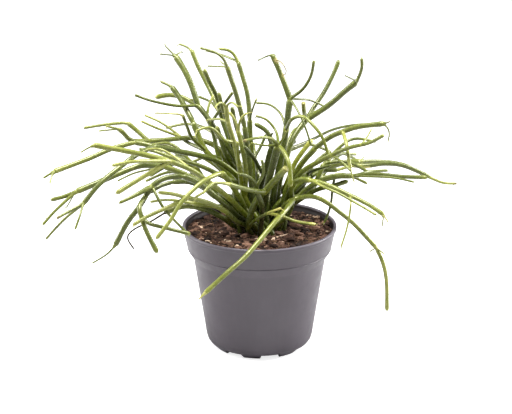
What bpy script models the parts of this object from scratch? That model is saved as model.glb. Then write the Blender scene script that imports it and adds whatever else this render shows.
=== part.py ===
"""A mistletoe cactus in its grey nursery pot: a clump of thin round stems that fork and arch over the rim.

Metres, +Z up. The origin is on the pot's axis, on the surface that the pot stands on. The front faces -Y.
"""

import math
from collections import namedtuple

import bmesh
import bpy
import numpy as np

MM = 0.001

# The pot, a thin turned shell with a stepped collar, a beaded rim and eight feet.
RIM_RADIUS = 60 * MM
POT_HEIGHT = 98 * MM
COLLAR_HEIGHT = 18 * MM
STEP_RADIUS = 51.4 * MM
STEP_HEIGHT = 72.4 * MM
HEEL_RADIUS = 41.8 * MM
FOOT_RADIUS = 36 * MM
FOOT_WIDTH = 3 * MM
FOOT_HEIGHT = 3 * MM
WALL = 1.3 * MM
FLOOR_THICKNESS = 1.6 * MM
TURN_STEPS = 32
FOOT_GAPS = 8
FIRST_GAP_DEG = -77
FOOT_GAP_WIDTH = 15 * MM
FOOT_GAP_HEIGHT = 3.9 * MM
DRAIN_RADIUS = 3.5 * MM
DRAIN_CIRCLE = 26 * MM

# The soil fills the pot to a little under its rim, and every shoot stands in a plain hole in it.
SEAT_GAP = 0.3 * MM
SIDE_GAP = 0.45 * MM
SOIL_EDGE = 92.5 * MM
SOIL_MIDDLE = 94.5 * MM
SOIL_RIPPLE = 0.9 * MM
ROOT_DEPTH = 24 * MM
HOLE_CLEARANCE = 0.5 * MM
ROOT_RADIUS = 1.7
ROOT_TAPER = 24 * MM
ROOT_SPACING = 3.25 * MM
CLUMP_RADIUS = 19 * MM

# How the photograph was taken: the rim's width in its pixels gives the scale on the pot's axis.
RIM_WIDTH_PX = 155.0
PICTURE_CENTRE_PX = (256.0, 207.0)
VIEW_TILT = math.radians(18.5)
VIEW_DISTANCE = 1.25
VIEW_AIM = (-2.7 * MM, 112 * MM)
PIXEL = 2 * RIM_RADIUS / RIM_WIDTH_PX

# Stem geometry. A stem's rings lie where its line bends, and a thin stem has four sides in place of six.
# Radii without a unit are in millimetres, as in the table of shoots.
FINE_STEP = 2 * MM
RING_TOLERANCE = 0.8 * MM
THIN_RADIUS = 1.75
BLUNT_RADIUS = 1.25
NECK = 0.72
NECK_LENGTH = 6 * MM
TIP = 0.5
DEEP_RADIUS = 2.25
CLEARANCE = 1.25 * MM
BEND_TURNS = 200
NEAR = 11 * MM

Segment = namedtuple("Segment", "start radii places cut")


def rooted(first, last, *places, cut=False):
    """A stem that rises from the soil. Radii are in millimetres."""
    return Segment(None, (first, last), places, cut)


def tip_of(segment, first, last, *places, cut=False):
    """A branch from the end of an earlier segment of the same shoot."""
    return Segment((segment, -1), (first, last), places, cut)


def bend_of(segment, place, first, last, *places, cut=False):
    """A branch from one of an earlier segment's places."""
    return Segment((segment, place), (first, last), places, cut)


# Each place is (across, down, back): pixels of the photograph, and millimetres behind the pot's axis.
SHOOTS = {
    "crown_left": [
        rooted(2.4, 2.1, (246, 196, 6), (232, 158, 14), (211, 123, 24), (198, 105.5, 32)),
        tip_of(0, 2.4, 2.4, (190.5, 83, 40), (183, 68, 46), (175, 55.5, 52)),
        tip_of(0, 1.3, 1.0, (180, 106.5, 24), (152, 101, 12), (135, 95, 4)),
        tip_of(1, 0.8, 0.5, (169, 50, 54), (165, 45.5, 56)),
        tip_of(1, 0.6, 0.5, (160, 54, 44)),
        tip_of(1, 0.7, 0.5, (182, 51.5, 60)),
        bend_of(0, 2, 1.3, 1.1, (221, 108, 8), (232, 93, -4)),
    ],
    "crown_fork": [
        rooted(2.3, 2.1, (242, 188, 12), (232, 150, 24), (222, 118, 36)),
        tip_of(0, 1.9, 1.7, (213.8, 98, 48), (206.4, 83, 56), (198, 66.5, 62), (191.5, 50, 68)),
        tip_of(0, 1.8, 1.6, (216.5, 96, 28), (210, 83, 22), (204, 69.5, 16)),
        tip_of(1, 0.9, 0.7, (185, 46, 72), (179, 44, 74)),
        tip_of(0, 1.2, 1.0, (212, 103, 58), (198.5, 96.5, 66)),
        bend_of(0, 1, 1.7, 1.5, (228, 126, 8), (223, 106, 4), (219.5, 92, 2)),
    ],
    "upright_front": [
        rooted(2.3, 2.0, (250, 200, -2), (249.5, 166, -6), (244.5, 126, -10)),
        tip_of(0, 2.0, 1.8, (236.5, 95, -12), (231.5, 80, -13), (227, 66.5, -14)),
        tip_of(1, 1.1, 0.8, (223, 58, -18), (214.5, 52, -24), (200, 48, -32)),
        tip_of(1, 0.7, 0.6, (217, 66.5, -8), (208, 66, -2)),
        tip_of(1, 0.6, 0.5, (221.5, 62.5, -6)),
    ],
    "upright_back": [
        rooted(2.2, 2.0, (255, 190, 6), (251, 146, 12), (249.8, 119, 16)),
        tip_of(0, 1.9, 1.7, (247.8, 96, 22), (243, 78, 26), (238, 61.5, 30)),
        tip_of(1, 1.2, 1.0, (233, 53, 32), (226.5, 49.5, 32), (219, 49, 32)),
        tip_of(1, 1.0, 0.7, (222, 55, 44), (206, 50.5, 54)),
        tip_of(0, 0.9, 0.7, (253, 108, 4), (256.5, 99, -2)),
    ],
    "split_top": [
        rooted(2.6, 2.5, (274, 196, 8), (281, 160, 16), (286, 130, 22), (290, 98.5, 28)),
        tip_of(0, 2.4, 2.0, (283, 80, 32), (277.5, 66.5, 35), (272, 54, 38)),
        tip_of(0, 1.4, 1.1, (302.5, 89.5, 20), (311, 76, 14), (314, 60.5, 8)),
        tip_of(1, 0.6, 0.5, (265, 57, 34), (258, 60.5, 28)),
        tip_of(0, 1.0, 0.8, (299, 113, 14), (306, 129, 6), (311, 145, 2)),
        tip_of(0, 1.0, 0.8, (300, 99.5, 44), (309, 100, 54), (322.5, 106, 62)),
        bend_of(0, 2, 1.5, 1.2, (292, 119, 4), (303, 116.5, -6), (312.5, 124.5, -14), (322.5, 137.5, -20),
                (329.5, 158, -24)),
        bend_of(0, 2, 1.1, 0.8, (281, 114, 34), (269.5, 104.5, 44), (256, 103, 50)),
    ],
    "fork_right": [
        rooted(2.5, 2.3, (280, 190, 16), (289, 149, 32), (297.5, 131, 42), (307, 119.5, 50)),
        tip_of(0, 2.0, 1.7, (314, 108, 58), (324, 93, 66), (334, 73, 74), (339, 60, 78)),
        tip_of(0, 2.4, 2.3, (329, 105, 50), (344, 92, 48), (357, 81.5, 46)),
        tip_of(2, 1.4, 1.2, (362, 68, 44), (361.5, 58, 42)),
        tip_of(2, 0.7, 0.5, (350, 78, 36), (345, 75.5, 30)),
        bend_of(0, 1, 1.3, 1.0, (311, 140, 52), (333, 129.5, 66), (354, 125, 76), (372, 124, 82)),
        tip_of(0, 1.8, 1.8, (304, 112, 34), (303.5, 103, 28), cut=True),
    ],
    "arc_right": [
        rooted(2.4, 2.2, (284, 196, 2), (294, 176, 0), (302.5, 162.5, -4), (316, 147.5, -10)),
        tip_of(0, 2.1, 2.0, (330, 137, -16), (343, 131.5, -20), (359, 126.5, -24), (385, 123.5, -30)),
        tip_of(1, 0.7, 0.5, (389.5, 132, -28), (388, 141, -24)),
        tip_of(1, 0.6, 0.5, (390, 121.5, -36)),
        bend_of(1, 1, 1.5, 1.3, (346, 145, -36), (350, 169, -46)),
        tip_of(4, 0.7, 0.5, (354, 182, -50)),
    ],
    "low_right": [
        rooted(2.2, 1.9, (287, 200, -8), (299, 175, -18), (316, 163, -26), (332.5, 154.5, -34)),
        tip_of(0, 1.7, 1.3, (349, 148, -42), (361, 145, -46), (370.5, 142.5, -48), (384, 135, -54)),
        bend_of(1, 1, 0.9, 0.6, (366, 139, -38), (371.5, 129, -32)),
        tip_of(0, 1.1, 0.9, (343, 163, -44), (351, 171, -52)),
    ],
    "far_right": [
        rooted(2.5, 2.6, (290, 198, 10), (308, 176, 22), (326, 168.5, 32), (340, 163.5, 38),
               (360, 161.5, 44)),
        tip_of(0, 1.7, 1.3, (386, 161.5, 58), (406, 165, 64), (418, 172, 68)),
        bend_of(0, 3, 2.1, 1.8, (365, 166, 30), (383, 163.5, 34), (401, 165, 38), (418.5, 171.5, 42),
                (430, 177.5, 44)),
        tip_of(2, 1.3, 1.0, (443.5, 183, 46), (457, 183.5, 48)),
        tip_of(0, 0.7, 0.5, (364, 157, 50)),
        bend_of(0, 0, 1.9, 1.6, (304, 182, 16), (320, 172, 20), (338, 170, 24)),
        tip_of(5, 1.3, 1.0, (352, 166, 28), (366, 168, 30)),
    ],
    "flat_right": [
        rooted(2.3, 2.0, (292, 203, -4), (314, 184, -6), (335, 177.5, -10), (354, 176, -14)),
        tip_of(0, 1.8, 1.5, (374, 174, -22), (401, 176.5, -32), (427.5, 177.5, -42)),
        tip_of(0, 1.3, 1.1, (370, 171.5, 2), (388, 170.5, 10)),
        tip_of(0, 1.0, 0.8, (391.5, 177.5, -44), (414, 182, -58)),
        bend_of(0, 2, 1.2, 0.9, (332.5, 190, 0), (331, 204, 8), (327.5, 217, 8), (324, 226, 6)),
    ],
    "droop_right": [
        rooted(2.2, 2.0, (289, 209, -12), (291.5, 190, -24), (299, 180, -32), (311.5, 180.5, -38)),
        tip_of(0, 1.9, 1.6, (329, 185.5, -46), (350.5, 195.5, -56), (368.5, 204.5, -64), (384, 215, -70)),
        tip_of(1, 0.6, 0.5, (388, 222, -73)),
        tip_of(1, 0.6, 0.5, (382, 226.5, -68)),
        tip_of(0, 1.1, 0.9, (325, 187.5, -54), (340, 194, -62), (356, 203, -70), (376.5, 215, -82)),
        bend_of(1, 1, 0.9, 0.7, (350.5, 208, -66), (347, 228, -72), (341, 247, -78)),
    ],
    "over_rim": [
        rooted(2.3, 2.2, (283, 216, -8), (287.5, 205, -14), (293.5, 197, -20)),
        tip_of(0, 1.9, 1.7, (311.5, 196, -14), (325.5, 201.5, -10), (340, 212.5, -8), (354, 224, -8),
               (376.5, 248, -10)),
        tip_of(1, 1.7, 1.5, (383, 263, -12), (386.5, 281, -14), (387, 311, -18)),
        tip_of(1, 0.6, 0.5, (369.5, 251.5, -4)),
        tip_of(1, 0.6, 0.5, (384.5, 254, -20)),
        tip_of(0, 2.0, 1.7, (285, 210.5, -40), (273.5, 223.5, -54), (259.5, 240.5, -67),
               (244.5, 257.5, -78), (227.5, 272.5, -86), (204.5, 293.5, -94)),
        tip_of(5, 0.9, 0.5, (199, 299, -97)),
    ],
    "cut_front": [
        rooted(2.4, 2.5, (246, 226, -20), (251, 209, -26), (264, 192, -36), (275, 180, -44),
               (286, 168.5, -50), cut=True),
        bend_of(0, 0, 1.2, 1.1, (256, 219, -32), (267.5, 213, -40)),
        tip_of(1, 1.0, 0.8, (281, 208, -48)),
        tip_of(1, 1.3, 1.2, (283.5, 216.5, -36), (296, 221.5, -30), (315.5, 224.5, -22)),
        bend_of(0, 2, 1.9, 1.7, (246, 189, -54), (228, 184, -66)),
        tip_of(4, 1.2, 0.9, (216.5, 183, -74), (206.5, 190.5, -78), (195, 197.5, -80)),
        tip_of(4, 1.0, 0.8, (214, 182.5, -80), (207, 188, -88), (203, 194, -92)),
    ],
    "front_left": [
        rooted(2.2, 2.0, (243, 208, -20), (232, 186, -40), (221.5, 172.5, -56)),
        tip_of(0, 1.8, 1.5, (209, 178, -68), (198.5, 185, -76), (182.5, 201, -86), (169.5, 221.5, -94),
               (156, 239, -100)),
    ],
    "left_forks": [
        rooted(2.4, 2.0, (244, 186, -2), (221, 163, -8), (199, 155.5, -14), (177, 151, -22),
               (153, 146.5, -28)),
        tip_of(0, 2.0, 1.9, (144, 144, -26), (134, 142.5, -24)),
        tip_of(0, 2.0, 1.8, (135.5, 155.5, -50), (124, 164, -60), (100.5, 183, -74), (83, 204, -82)),
        tip_of(2, 1.3, 1.0, (67, 212.5, -90), (56.5, 218.5, -96)),
        tip_of(2, 1.2, 0.9, (63.5, 220, -76), (46, 239, -72)),
        tip_of(2, 1.0, 0.8, (80, 215.5, -92), (75, 229.5, -98)),
        tip_of(1, 1.9, 1.9, (112, 148.5, -32), (89, 158.5, -42), (53, 172, -56)),
        tip_of(6, 0.9, 0.7, (43.5, 178, -58)),
        tip_of(6, 0.8, 0.6, (50, 182.5, -64)),
        bend_of(0, 0, 2.0, 1.7, (222, 176, 2), (198, 165, 4), (170, 157, 6)),
        tip_of(9, 1.5, 1.2, (154, 151, 8), (139, 149, 10)),
        tip_of(9, 1.2, 1.0, (156, 160, 14), (143, 166, 18)),
    ],
    "far_left": [
        rooted(2.4, 2.1, (236, 206, -10), (206, 186, -18), (184, 174, -24), (163, 166, -30)),
        tip_of(0, 2.2, 2.2, (141.5, 165.5, -36), (124, 171.5, -42), (103, 180.5, -48), (75.5, 192, -56)),
        tip_of(1, 1.6, 1.4, (63, 197, -58), (50.5, 200, -58)),
        tip_of(1, 1.3, 1.0, (55, 211, -66), (42.5, 225, -72)),
        tip_of(1, 0.6, 0.5, (66.5, 207.5, -50)),
        bend_of(0, 0, 2.1, 1.9, (214, 194, -20), (192, 182.5, -26), (172, 182, -32)),
        tip_of(5, 1.8, 1.5, (160, 186, -36), (149, 193, -40)),
        tip_of(0, 0.9, 0.7, (149, 169.5, -22), (133, 173.5, -18), (117.5, 181, -16)),
    ],
    "left_high": [
        rooted(2.5, 2.3, (236, 186, 4), (206, 151, 14), (199, 136.5, 18), (193, 121.5, 22)),
        tip_of(0, 2.2, 2.0, (185.5, 107, 30), (178, 95, 36), (171, 86, 40)),
        tip_of(1, 1.1, 0.9, (160.5, 81.5, 42)),
        bend_of(0, 1, 1.5, 1.2, (192, 138, 4), (188, 129, -2), (182.5, 114.5, -8)),
        tip_of(3, 0.8, 0.6, (170, 113.5, -16), (155, 113, -26)),
        bend_of(0, 1, 1.6, 1.4, (190, 142, 30), (181, 136.5, 38)),
        tip_of(5, 1.1, 0.9, (162, 123, 44), (144.5, 115, 50)),
        tip_of(5, 1.1, 0.9, (159, 129, 36), (141, 121, 32)),
        bend_of(0, 0, 1.9, 1.7, (222, 158, 20), (214, 134, 28), (207, 117, 34)),
        tip_of(8, 1.3, 1.0, (200, 106, 38), (190, 99, 42)),
        tip_of(8, 1.2, 0.9, (209, 104, 40), (214, 95, 44)),
    ],
    "left_back": [
        rooted(2.2, 1.9, (240, 176, 22), (222, 140, 42), (203, 111.5, 58), (184, 98, 66), (168, 95, 70),
               (155, 97.5, 72)),
        bend_of(0, 1, 1.4, 1.1, (205, 128, 60), (186, 124, 76), (166, 128, 88)),
    ],
    "left_mid": [
        rooted(2.2, 1.9, (240, 186, 10), (222, 152, 22), (201.5, 141, 30), (176.5, 140, 34), (148, 141, 36)),
        tip_of(0, 1.8, 1.8, (138.5, 132, 40), (127, 122.5, 42)),
        tip_of(1, 1.4, 1.1, (106, 124.5, 42), (83.5, 128, 40)),
        tip_of(0, 1.9, 1.8, (131, 140.5, 18), (124, 133.5, 12), (118.5, 129, 8)),
        tip_of(3, 1.0, 0.8, (106, 126, 0)),
        tip_of(3, 0.7, 0.6, (99, 131, 14)),
        bend_of(0, 0, 1.9, 1.6, (222, 170, 20), (204, 158, 26), (183, 152, 30)),
        tip_of(6, 1.3, 1.0, (168, 146, 34), (154, 144, 36)),
    ],
    "left_pale": [
        rooted(2.2, 1.8, (236, 206, -28), (222, 192, -44), (206, 180, -56), (191.5, 170, -64),
               (169.5, 161, -72)),
        tip_of(0, 2.1, 1.9, (147.5, 155.5, -80), (118, 149.5, -88), (93, 145, -92)),
        tip_of(1, 0.7, 0.5, (80.5, 152.5, -94)),
        tip_of(0, 1.6, 1.2, (150, 161, -86), (133, 161.5, -98), (112, 165.5, -106)),
        tip_of(0, 1.8, 1.7, (153, 171, -82), (133, 183, -94), (116, 193.5, -102)),
        bend_of(0, 3, 1.1, 0.9, (176, 158, -54), (160, 149, -50), (146, 150, -46)),
    ],
    "left_low": [
        rooted(2.3, 2.1, (234, 214, -22), (212, 194, -36), (197, 182, -44), (182.5, 176, -50)),
        tip_of(0, 2.1, 2.0, (165, 178, -54), (152, 186, -58), (145.5, 196.5, -60), (138.5, 208, -62),
               (127, 223, -64), (115, 246, -66)),
        tip_of(1, 0.8, 0.6, (106, 255, -68), (92.5, 263, -70)),
        bend_of(1, 1, 2.2, 1.1, (135, 195.5, -70), (119, 203, -76)),
        bend_of(1, 2, 1.8, 1.8, (139.5, 206, -72), (141.5, 216, -78), (147.5, 233, -84), (157.5, 253, -90)),
        bend_of(1, 1, 1.2, 1.0, (158, 198, -66), (166.5, 211, -72), (185.5, 231.5, -80)),
        bend_of(1, 3, 1.6, 1.4, (146, 222, -72), (164, 227.5, -78), (190.5, 234, -84)),
    ],
    "rim_left": [
        rooted(2.3, 2.1, (234, 223, -12), (221, 216, -16), (204.5, 209, -18), (185, 206, -20),
               (166, 212, -24)),
        bend_of(0, 0, 2.0, 1.8, (227, 208, -26), (210, 205, -34), (192, 203, -40)),
        tip_of(1, 1.2, 1.0, (176, 200.5, -36), (163, 200, -30), (150, 202, -26)),
        tip_of(0, 0.8, 0.6, (150, 222, -28), (136, 228, -34), (127, 237, -38), (134, 249, -36)),
    ],
    "rim_left_thin": [
        rooted(2.0, 1.8, (238, 222, -26), (225, 211, -40), (206, 202, -52), (187, 198, -62)),
        tip_of(0, 1.8, 1.3, (169.5, 207, -70), (147.5, 217, -78), (132.5, 226, -84)),
        tip_of(0, 1.6, 1.3, (173, 194, -70), (158, 192.5, -76)),
    ],
    "centre_tall": [
        rooted(2.6, 2.8, (263, 205, -6), (270, 175, -12), (278.5, 145, -18)),
        tip_of(0, 1.3, 1.0, (271, 138.5, -28), (260, 137.5, -38), (243, 141, -48)),
        tip_of(0, 0.8, 0.7, (265, 145.5, -26), (251, 143, -34)),
        tip_of(0, 1.0, 0.7, (284, 137, -22), (286, 131, -24)),
        tip_of(0, 1.7, 1.9, (285, 154, -28), (289.5, 166, -36), (290.5, 187, -42)),
        tip_of(0, 1.2, 0.9, (276, 131, -2), (266, 119, 2), (255.5, 116, 4)),
    ],
    "centre_broad": [
        rooted(2.8, 3.8, (259, 204, 8), (264, 178, 12), (270, 160, 12), (274, 146, 12)),
        tip_of(0, 1.9, 1.6, (267, 131.5, 16), (254, 123.5, 18)),
        tip_of(0, 1.0, 0.7, (268, 139, 4), (273, 133, 0)),
        bend_of(0, 1, 1.6, 1.4, (255, 160, -12), (243, 146, -22)),
    ],
    "inner_left": [
        rooted(2.4, 2.1, (248, 202, 12), (238, 178, 20), (233, 160, 26)),
        tip_of(0, 1.6, 1.3, (226, 148, 34), (222, 137, 40)),
        tip_of(0, 1.3, 1.0, (241, 150, 22), (246, 138, 20)),
        bend_of(0, 1, 2.0, 1.8, (230, 160, 14), (222, 142, 12), (217, 126, 10)),
    ],
    "inner_middle": [
        rooted(2.5, 2.2, (261, 200, 18), (257, 176, 28), (254, 158, 36)),
        tip_of(0, 1.6, 1.3, (247, 146, 42), (240, 134, 46)),
        tip_of(0, 1.4, 1.1, (261, 146, 42), (266, 134, 46)),
        bend_of(0, 1, 2.0, 1.6, (248, 158, 22), (240, 138, 14), (235, 122, 8), (232, 107, 4)),
    ],
    "inner_right": [
        rooted(2.4, 2.2, (274, 204, 20), (279, 182, 32), (277, 163, 40)),
        tip_of(0, 1.5, 1.2, (270, 150, 48), (271, 137, 54)),
        tip_of(0, 1.4, 1.1, (285, 150, 46), (296, 141, 50)),
        bend_of(0, 0, 2.1, 1.8, (286, 184, 14), (294, 165, 18), (303, 151, 22), (312.5, 139.5, 24)),
    ],
    "inner_low": [
        rooted(2.3, 2.1, (283, 210, 8), (298, 190, 14), (308, 174, 20)),
        tip_of(0, 1.4, 1.2, (318, 160, 28), (330, 151, 32)),
        tip_of(0, 1.3, 1.0, (316, 170, 10), (332, 165, 4)),
        bend_of(0, 0, 2.0, 1.7, (300, 199, 2), (317, 189, -2), (334, 183.5, -6), (348, 179.5, -10)),
    ],
    "inner_front": [
        rooted(2.3, 2.0, (262, 216, -22), (262, 200, -34), (258, 187, -42)),
        tip_of(0, 1.3, 1.1, (251, 178, -50), (240, 174, -56)),
        tip_of(0, 1.3, 1.0, (264, 174, -44), (262, 160, -46)),
    ],
    "centre_yellow": [
        rooted(2.0, 1.8, (245, 198, -12), (239, 165, -22), (234, 142, -26), (228, 122, -28), (226, 106, -28)),
        bend_of(0, 2, 1.4, 0.9, (224, 140, -34), (216, 131, -42), (208, 127, -46), (196, 131, -50)),
        bend_of(0, 1, 1.3, 1.2, (237.5, 152, -34), (237.5, 141.5, -38)),
        tip_of(0, 1.0, 0.7, (220, 102, -34), (215, 108, -40)),
        tip_of(0, 0.9, 0.7, (232, 102, -36), (238, 107, -42)),
        bend_of(0, 3, 1.0, 0.8, (219, 119, -20), (207, 120, -10)),
        bend_of(0, 0, 1.9, 1.7, (246, 172, -16), (243, 150, -18), (238, 130, -18)),
        tip_of(6, 1.2, 0.9, (234, 118, -18), (229, 112, -16)),
        tip_of(6, 1.1, 0.8, (241, 118, -20), (247, 113, -22)),
    ],
}

# The back of the plant, which the photograph doesn't show: one fan of low, arching, forking shoots.
BACK_SHOOTS = 7
BACK_FIRST_DEG, BACK_LAST_DEG = 22, 163
BACK_SEED = 7


def places_by_rule():
    """The shoots at the back, each an arching stem with three branches, in metres."""
    random = np.random.default_rng(BACK_SEED)
    shoots = {}
    for number in range(BACK_SHOOTS):
        share = number / (BACK_SHOOTS - 1)
        heading = math.radians(BACK_FIRST_DEG + share * (BACK_LAST_DEG - BACK_FIRST_DEG))
        reach = (66 if number % 2 else 50) * MM + random.uniform(0, 6) * MM
        lift = (120 if number % 2 else 138) * MM + random.uniform(-4, 4) * MM
        out = np.array([math.cos(heading), math.sin(heading), 0.0])
        up = np.array([0.0, 0.0, 1.0])
        stem = [
            0.32 * reach * out + (SOIL_MIDDLE + 20 * MM) * up,
            0.68 * reach * out + (0.45 * SOIL_MIDDLE + 0.55 * lift) * up,
            reach * out + lift * up,
        ]
        segments = [Segment(None, (2.2, 1.9), stem, False)]
        for branch in range(3):
            turn = heading + math.radians((branch - 1) * 38 + random.uniform(-8, 8))
            away = np.array([math.cos(turn), math.sin(turn), 0.0])
            length = random.uniform(34, 46) * MM
            rise = (0.55 - 0.45 * abs(branch - 1)) * length
            middle = stem[-1] + 0.5 * length * away + 0.7 * rise * up
            end = stem[-1] + length * away + (rise - 0.25 * length) * up
            segments.append(Segment((0, -1), (1.5, 1.1), [middle, end], False))
        shoots[f"back_{number + 1}"] = segments
    return shoots


def seen(across, down, back):
    """The point behind a pixel of the photograph, at a depth given in millimetres behind the pot's axis."""
    y = back * MM
    sight = PIXEL / VIEW_DISTANCE
    slope = (PICTURE_CENTRE_PX[1] - down) * sight
    sine, cosine = math.sin(VIEW_TILT), math.cos(VIEW_TILT)
    z = (slope * (VIEW_DISTANCE + y * cosine) - y * sine) / (cosine + slope * sine)
    depth = VIEW_DISTANCE + y * cosine - z * sine
    x = (across - PICTURE_CENTRE_PX[0]) * sight * depth
    return np.array([x + VIEW_AIM[0], y, z + VIEW_AIM[1]])


def soil_height(x, y):
    """The soil's surface: a low mound with a gentle ripple."""
    share = min(1.0, math.hypot(x, y) / RIM_RADIUS)
    mound = SOIL_MIDDLE + (SOIL_EDGE - SOIL_MIDDLE) * share**2
    ripple = math.sin(x / (7 * MM)) * math.cos(y / (9 * MM)) + math.sin((x + y) / (5 * MM) + 1)
    return mound + 0.5 * SOIL_RIPPLE * ripple * (1 - share**4)


def root_spots(count):
    """Spots on a spiral, as evenly spread as seeds on a sunflower's disc."""
    golden = math.pi * (3 - math.sqrt(5))
    radii = [ROOT_SPACING * math.sqrt(i + 0.6) for i in range(count)]
    return [(r * math.cos(i * golden), r * math.sin(i * golden)) for i, r in enumerate(radii)]


def choose_roots(shoots):
    """Gives each shoot the free spot nearest to the way that it leans."""
    free = root_spots(len(shoots))
    roots = {}
    for name, segments in shoots.items():
        lean = np.array(segments[0].places[0][:2])
        wanted = lean * min(1.0, CLUMP_RADIUS / max(np.linalg.norm(lean), MM))
        nearest = min(free, key=lambda spot: math.dist(spot, wanted))
        free.remove(nearest)
        roots[name] = nearest
    return roots


def smooth_line(points):
    """A Catmull-Rom curve through the points, in fine steps, and the number of the step at each point."""
    points = [2 * points[0] - points[1], *points, 2 * points[-1] - points[-2]]
    line, stations = [points[1]], [0]
    for a, b, c, d in zip(points, points[1:], points[2:], points[3:]):
        steps = max(1, round(np.linalg.norm(c - b) / FINE_STEP))
        for step in range(1, steps + 1):
            t = step / steps
            square = (2 * a - 5 * b + 4 * c - d) * t**2
            cube = (3 * b - a - 3 * c + d) * t**3
            line.append(0.5 * (2 * b + (c - a) * t + square + cube))
        stations.append(len(line) - 1)
    return line, stations


class Clump:
    """Every shoot as fine centre lines in one set of arrays, so that they can be bent clear of each other."""

    def __init__(self, shoots, roots):
        self.points, self.radii, self.owner, self.before, self.fixed = [], [], [], [], []
        self.lines = {}
        for number, (name, segments) in enumerate(shoots.items()):
            self.lines[name] = []
            for segment in segments:
                self.lines[name].append(self.add_line(number, segment, self.lines[name], roots[name]))
        self.points = np.array(self.points)
        self.radii = np.array(self.radii)
        self.owner = np.array(self.owner)
        self.before = np.array(self.before)
        self.fixed = np.array(self.fixed)

    def add_line(self, number, segment, earlier, root):
        """Adds one segment's points. Returns their numbers, the numbers at its places, and whether it is cut."""
        if segment.start is None:
            ground = soil_height(*root)
            foot = np.array([*root, ground - ROOT_DEPTH])
            collar = np.array([*root, ground + 2 * MM])
            head = [self.add_point(number, foot, ROOT_RADIUS, -1, True)]
            head.append(self.add_point(number, collar, ROOT_RADIUS, head[0], True))
        else:
            parent_numbers, parent_stations, _ = earlier[segment.start[0]]
            station = parent_stations[segment.start[1]]
            joint = parent_numbers.index(station)
            head = parent_numbers[max(0, joint - 1):joint + 1] if station == parent_numbers[-1] else [station]
        line, steps = smooth_line([self.points[head[-1]], *segment.places])
        numbers = list(head)
        for step, point in enumerate(line[1:], 1):
            share = step / (len(line) - 1)
            radius = segment.radii[0] + (segment.radii[1] - segment.radii[0]) * share
            if segment.start is None:
                radius = ROOT_RADIUS + (radius - ROOT_RADIUS) * min(1.0, step * FINE_STEP / ROOT_TAPER)
            numbers.append(self.add_point(number, point, radius, numbers[-1], False))
        first = len(head) - 1
        return numbers, [numbers[first + step] for step in steps[1:]], segment.cut

    def add_point(self, number, point, radius, before, fixed):
        self.points.append(point)
        self.radii.append(radius * MM)
        self.owner.append(number)
        self.before.append(before)
        self.fixed.append(fixed)
        return len(self.points) - 1

    def bend_clear(self):
        """Bends the shoots, softly and as little as it takes, until each is clear of the rest and of the pot."""
        count = len(self.points)
        ring = rim_points()
        points = np.vstack([self.points, ring])
        radii = np.concatenate([self.radii, np.full(len(ring), 2.6 * MM)])
        owner = np.concatenate([self.owner, np.full(len(ring), -1)])
        rest = points.copy()
        held = np.concatenate([self.fixed, np.full(len(ring), True)])
        child = np.flatnonzero(self.before >= 0)
        parent = self.before[child]
        for turn in range(BEND_TURNS):
            if turn % 8 == 0:
                a, b = near_pairs(points, owner)
            apart = points[b] - points[a]
            gap = np.maximum(np.linalg.norm(apart, axis=1), 1e-6)
            short = np.maximum(radii[a] + radii[b] + CLEARANCE - gap, 0)
            tight = short > 0
            push = (0.5 * short[tight] / gap[tight])[:, None] * apart[tight]
            shift = points - rest
            np.add.at(shift, a[tight], -push)
            np.add.at(shift, b[tight], push)
            softness = 0.6 * (1 - turn / BEND_TURNS)
            total, links = shift[:count].copy(), np.ones(count)
            np.add.at(total, child, shift[parent])
            np.add.at(total, parent, shift[child])
            np.add.at(links, child, 1)
            np.add.at(links, parent, 1)
            shift[:count] += softness * (total / links[:, None] - shift[:count])
            shift[held] = 0
            points = rest + shift
            inside = np.hypot(points[:, 0], points[:, 1]) < RIM_RADIUS
            low = inside & ~held & (points[:, 2] < SOIL_MIDDLE + radii + 1.5 * MM)
            points[low, 2] = (SOIL_MIDDLE + radii + 1.5 * MM)[low]
        self.points = points[:count]


def rim_points():
    """Points along the rim and the collar, which the shoots keep clear of."""
    rows = []
    rings = ((RIM_RADIUS - 1.5 * MM, POT_HEIGHT - 2 * MM), (57 * MM, 89 * MM), (55 * MM, 82 * MM))
    for radius, height in rings:
        angles = np.linspace(0, 2 * math.pi, 130, endpoint=False)
        rows.append(np.column_stack([radius * np.cos(angles), radius * np.sin(angles), np.full(130, height)]))
    return np.vstack(rows)


def near_pairs(points, owner):
    """Numbers of the pairs of points of different shoots that lie near each other."""
    found = []
    for number, point in enumerate(points):
        others = np.flatnonzero(np.abs(points[number + 1:] - point).max(axis=1) < NEAR) + number + 1
        others = others[owner[others] != owner[number]]
        found.append(np.column_stack([np.full(len(others), number), others]))
    pairs = np.vstack(found)
    return pairs[:, 0], pairs[:, 1]


def material(name, colour, roughness):
    made = bpy.data.materials.new(name)
    made.use_nodes = True
    shader = made.node_tree.nodes["Principled BSDF"]
    shader.inputs["Base Color"].default_value = (*colour, 1)
    shader.inputs["Roughness"].default_value = roughness
    made.diffuse_color = (*colour, 1)
    return made


def add_object(name, data, collection, finish=None):
    made = bpy.data.objects.new(name, data)
    collection.objects.link(made)
    if finish:
        data.materials.append(finish)
    return made


def turned(name, profile, collection, finish):
    """A solid of revolution. The profile, in (radius, height) pairs, runs down its outer side to the axis."""
    mesh = bpy.data.meshes.new(name)
    mesh.from_pydata([(r, 0, z) for r, z in profile], [(i, i + 1) for i in range(len(profile) - 1)], [])
    made = add_object(name, mesh, collection, finish)
    screw = made.modifiers.new("Turn", "SCREW")
    screw.steps = TURN_STEPS
    screw.render_steps = TURN_STEPS
    screw.use_merge_vertices = True
    screw.merge_threshold = 0.00005
    screw.use_smooth_shade = True
    return made


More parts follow.
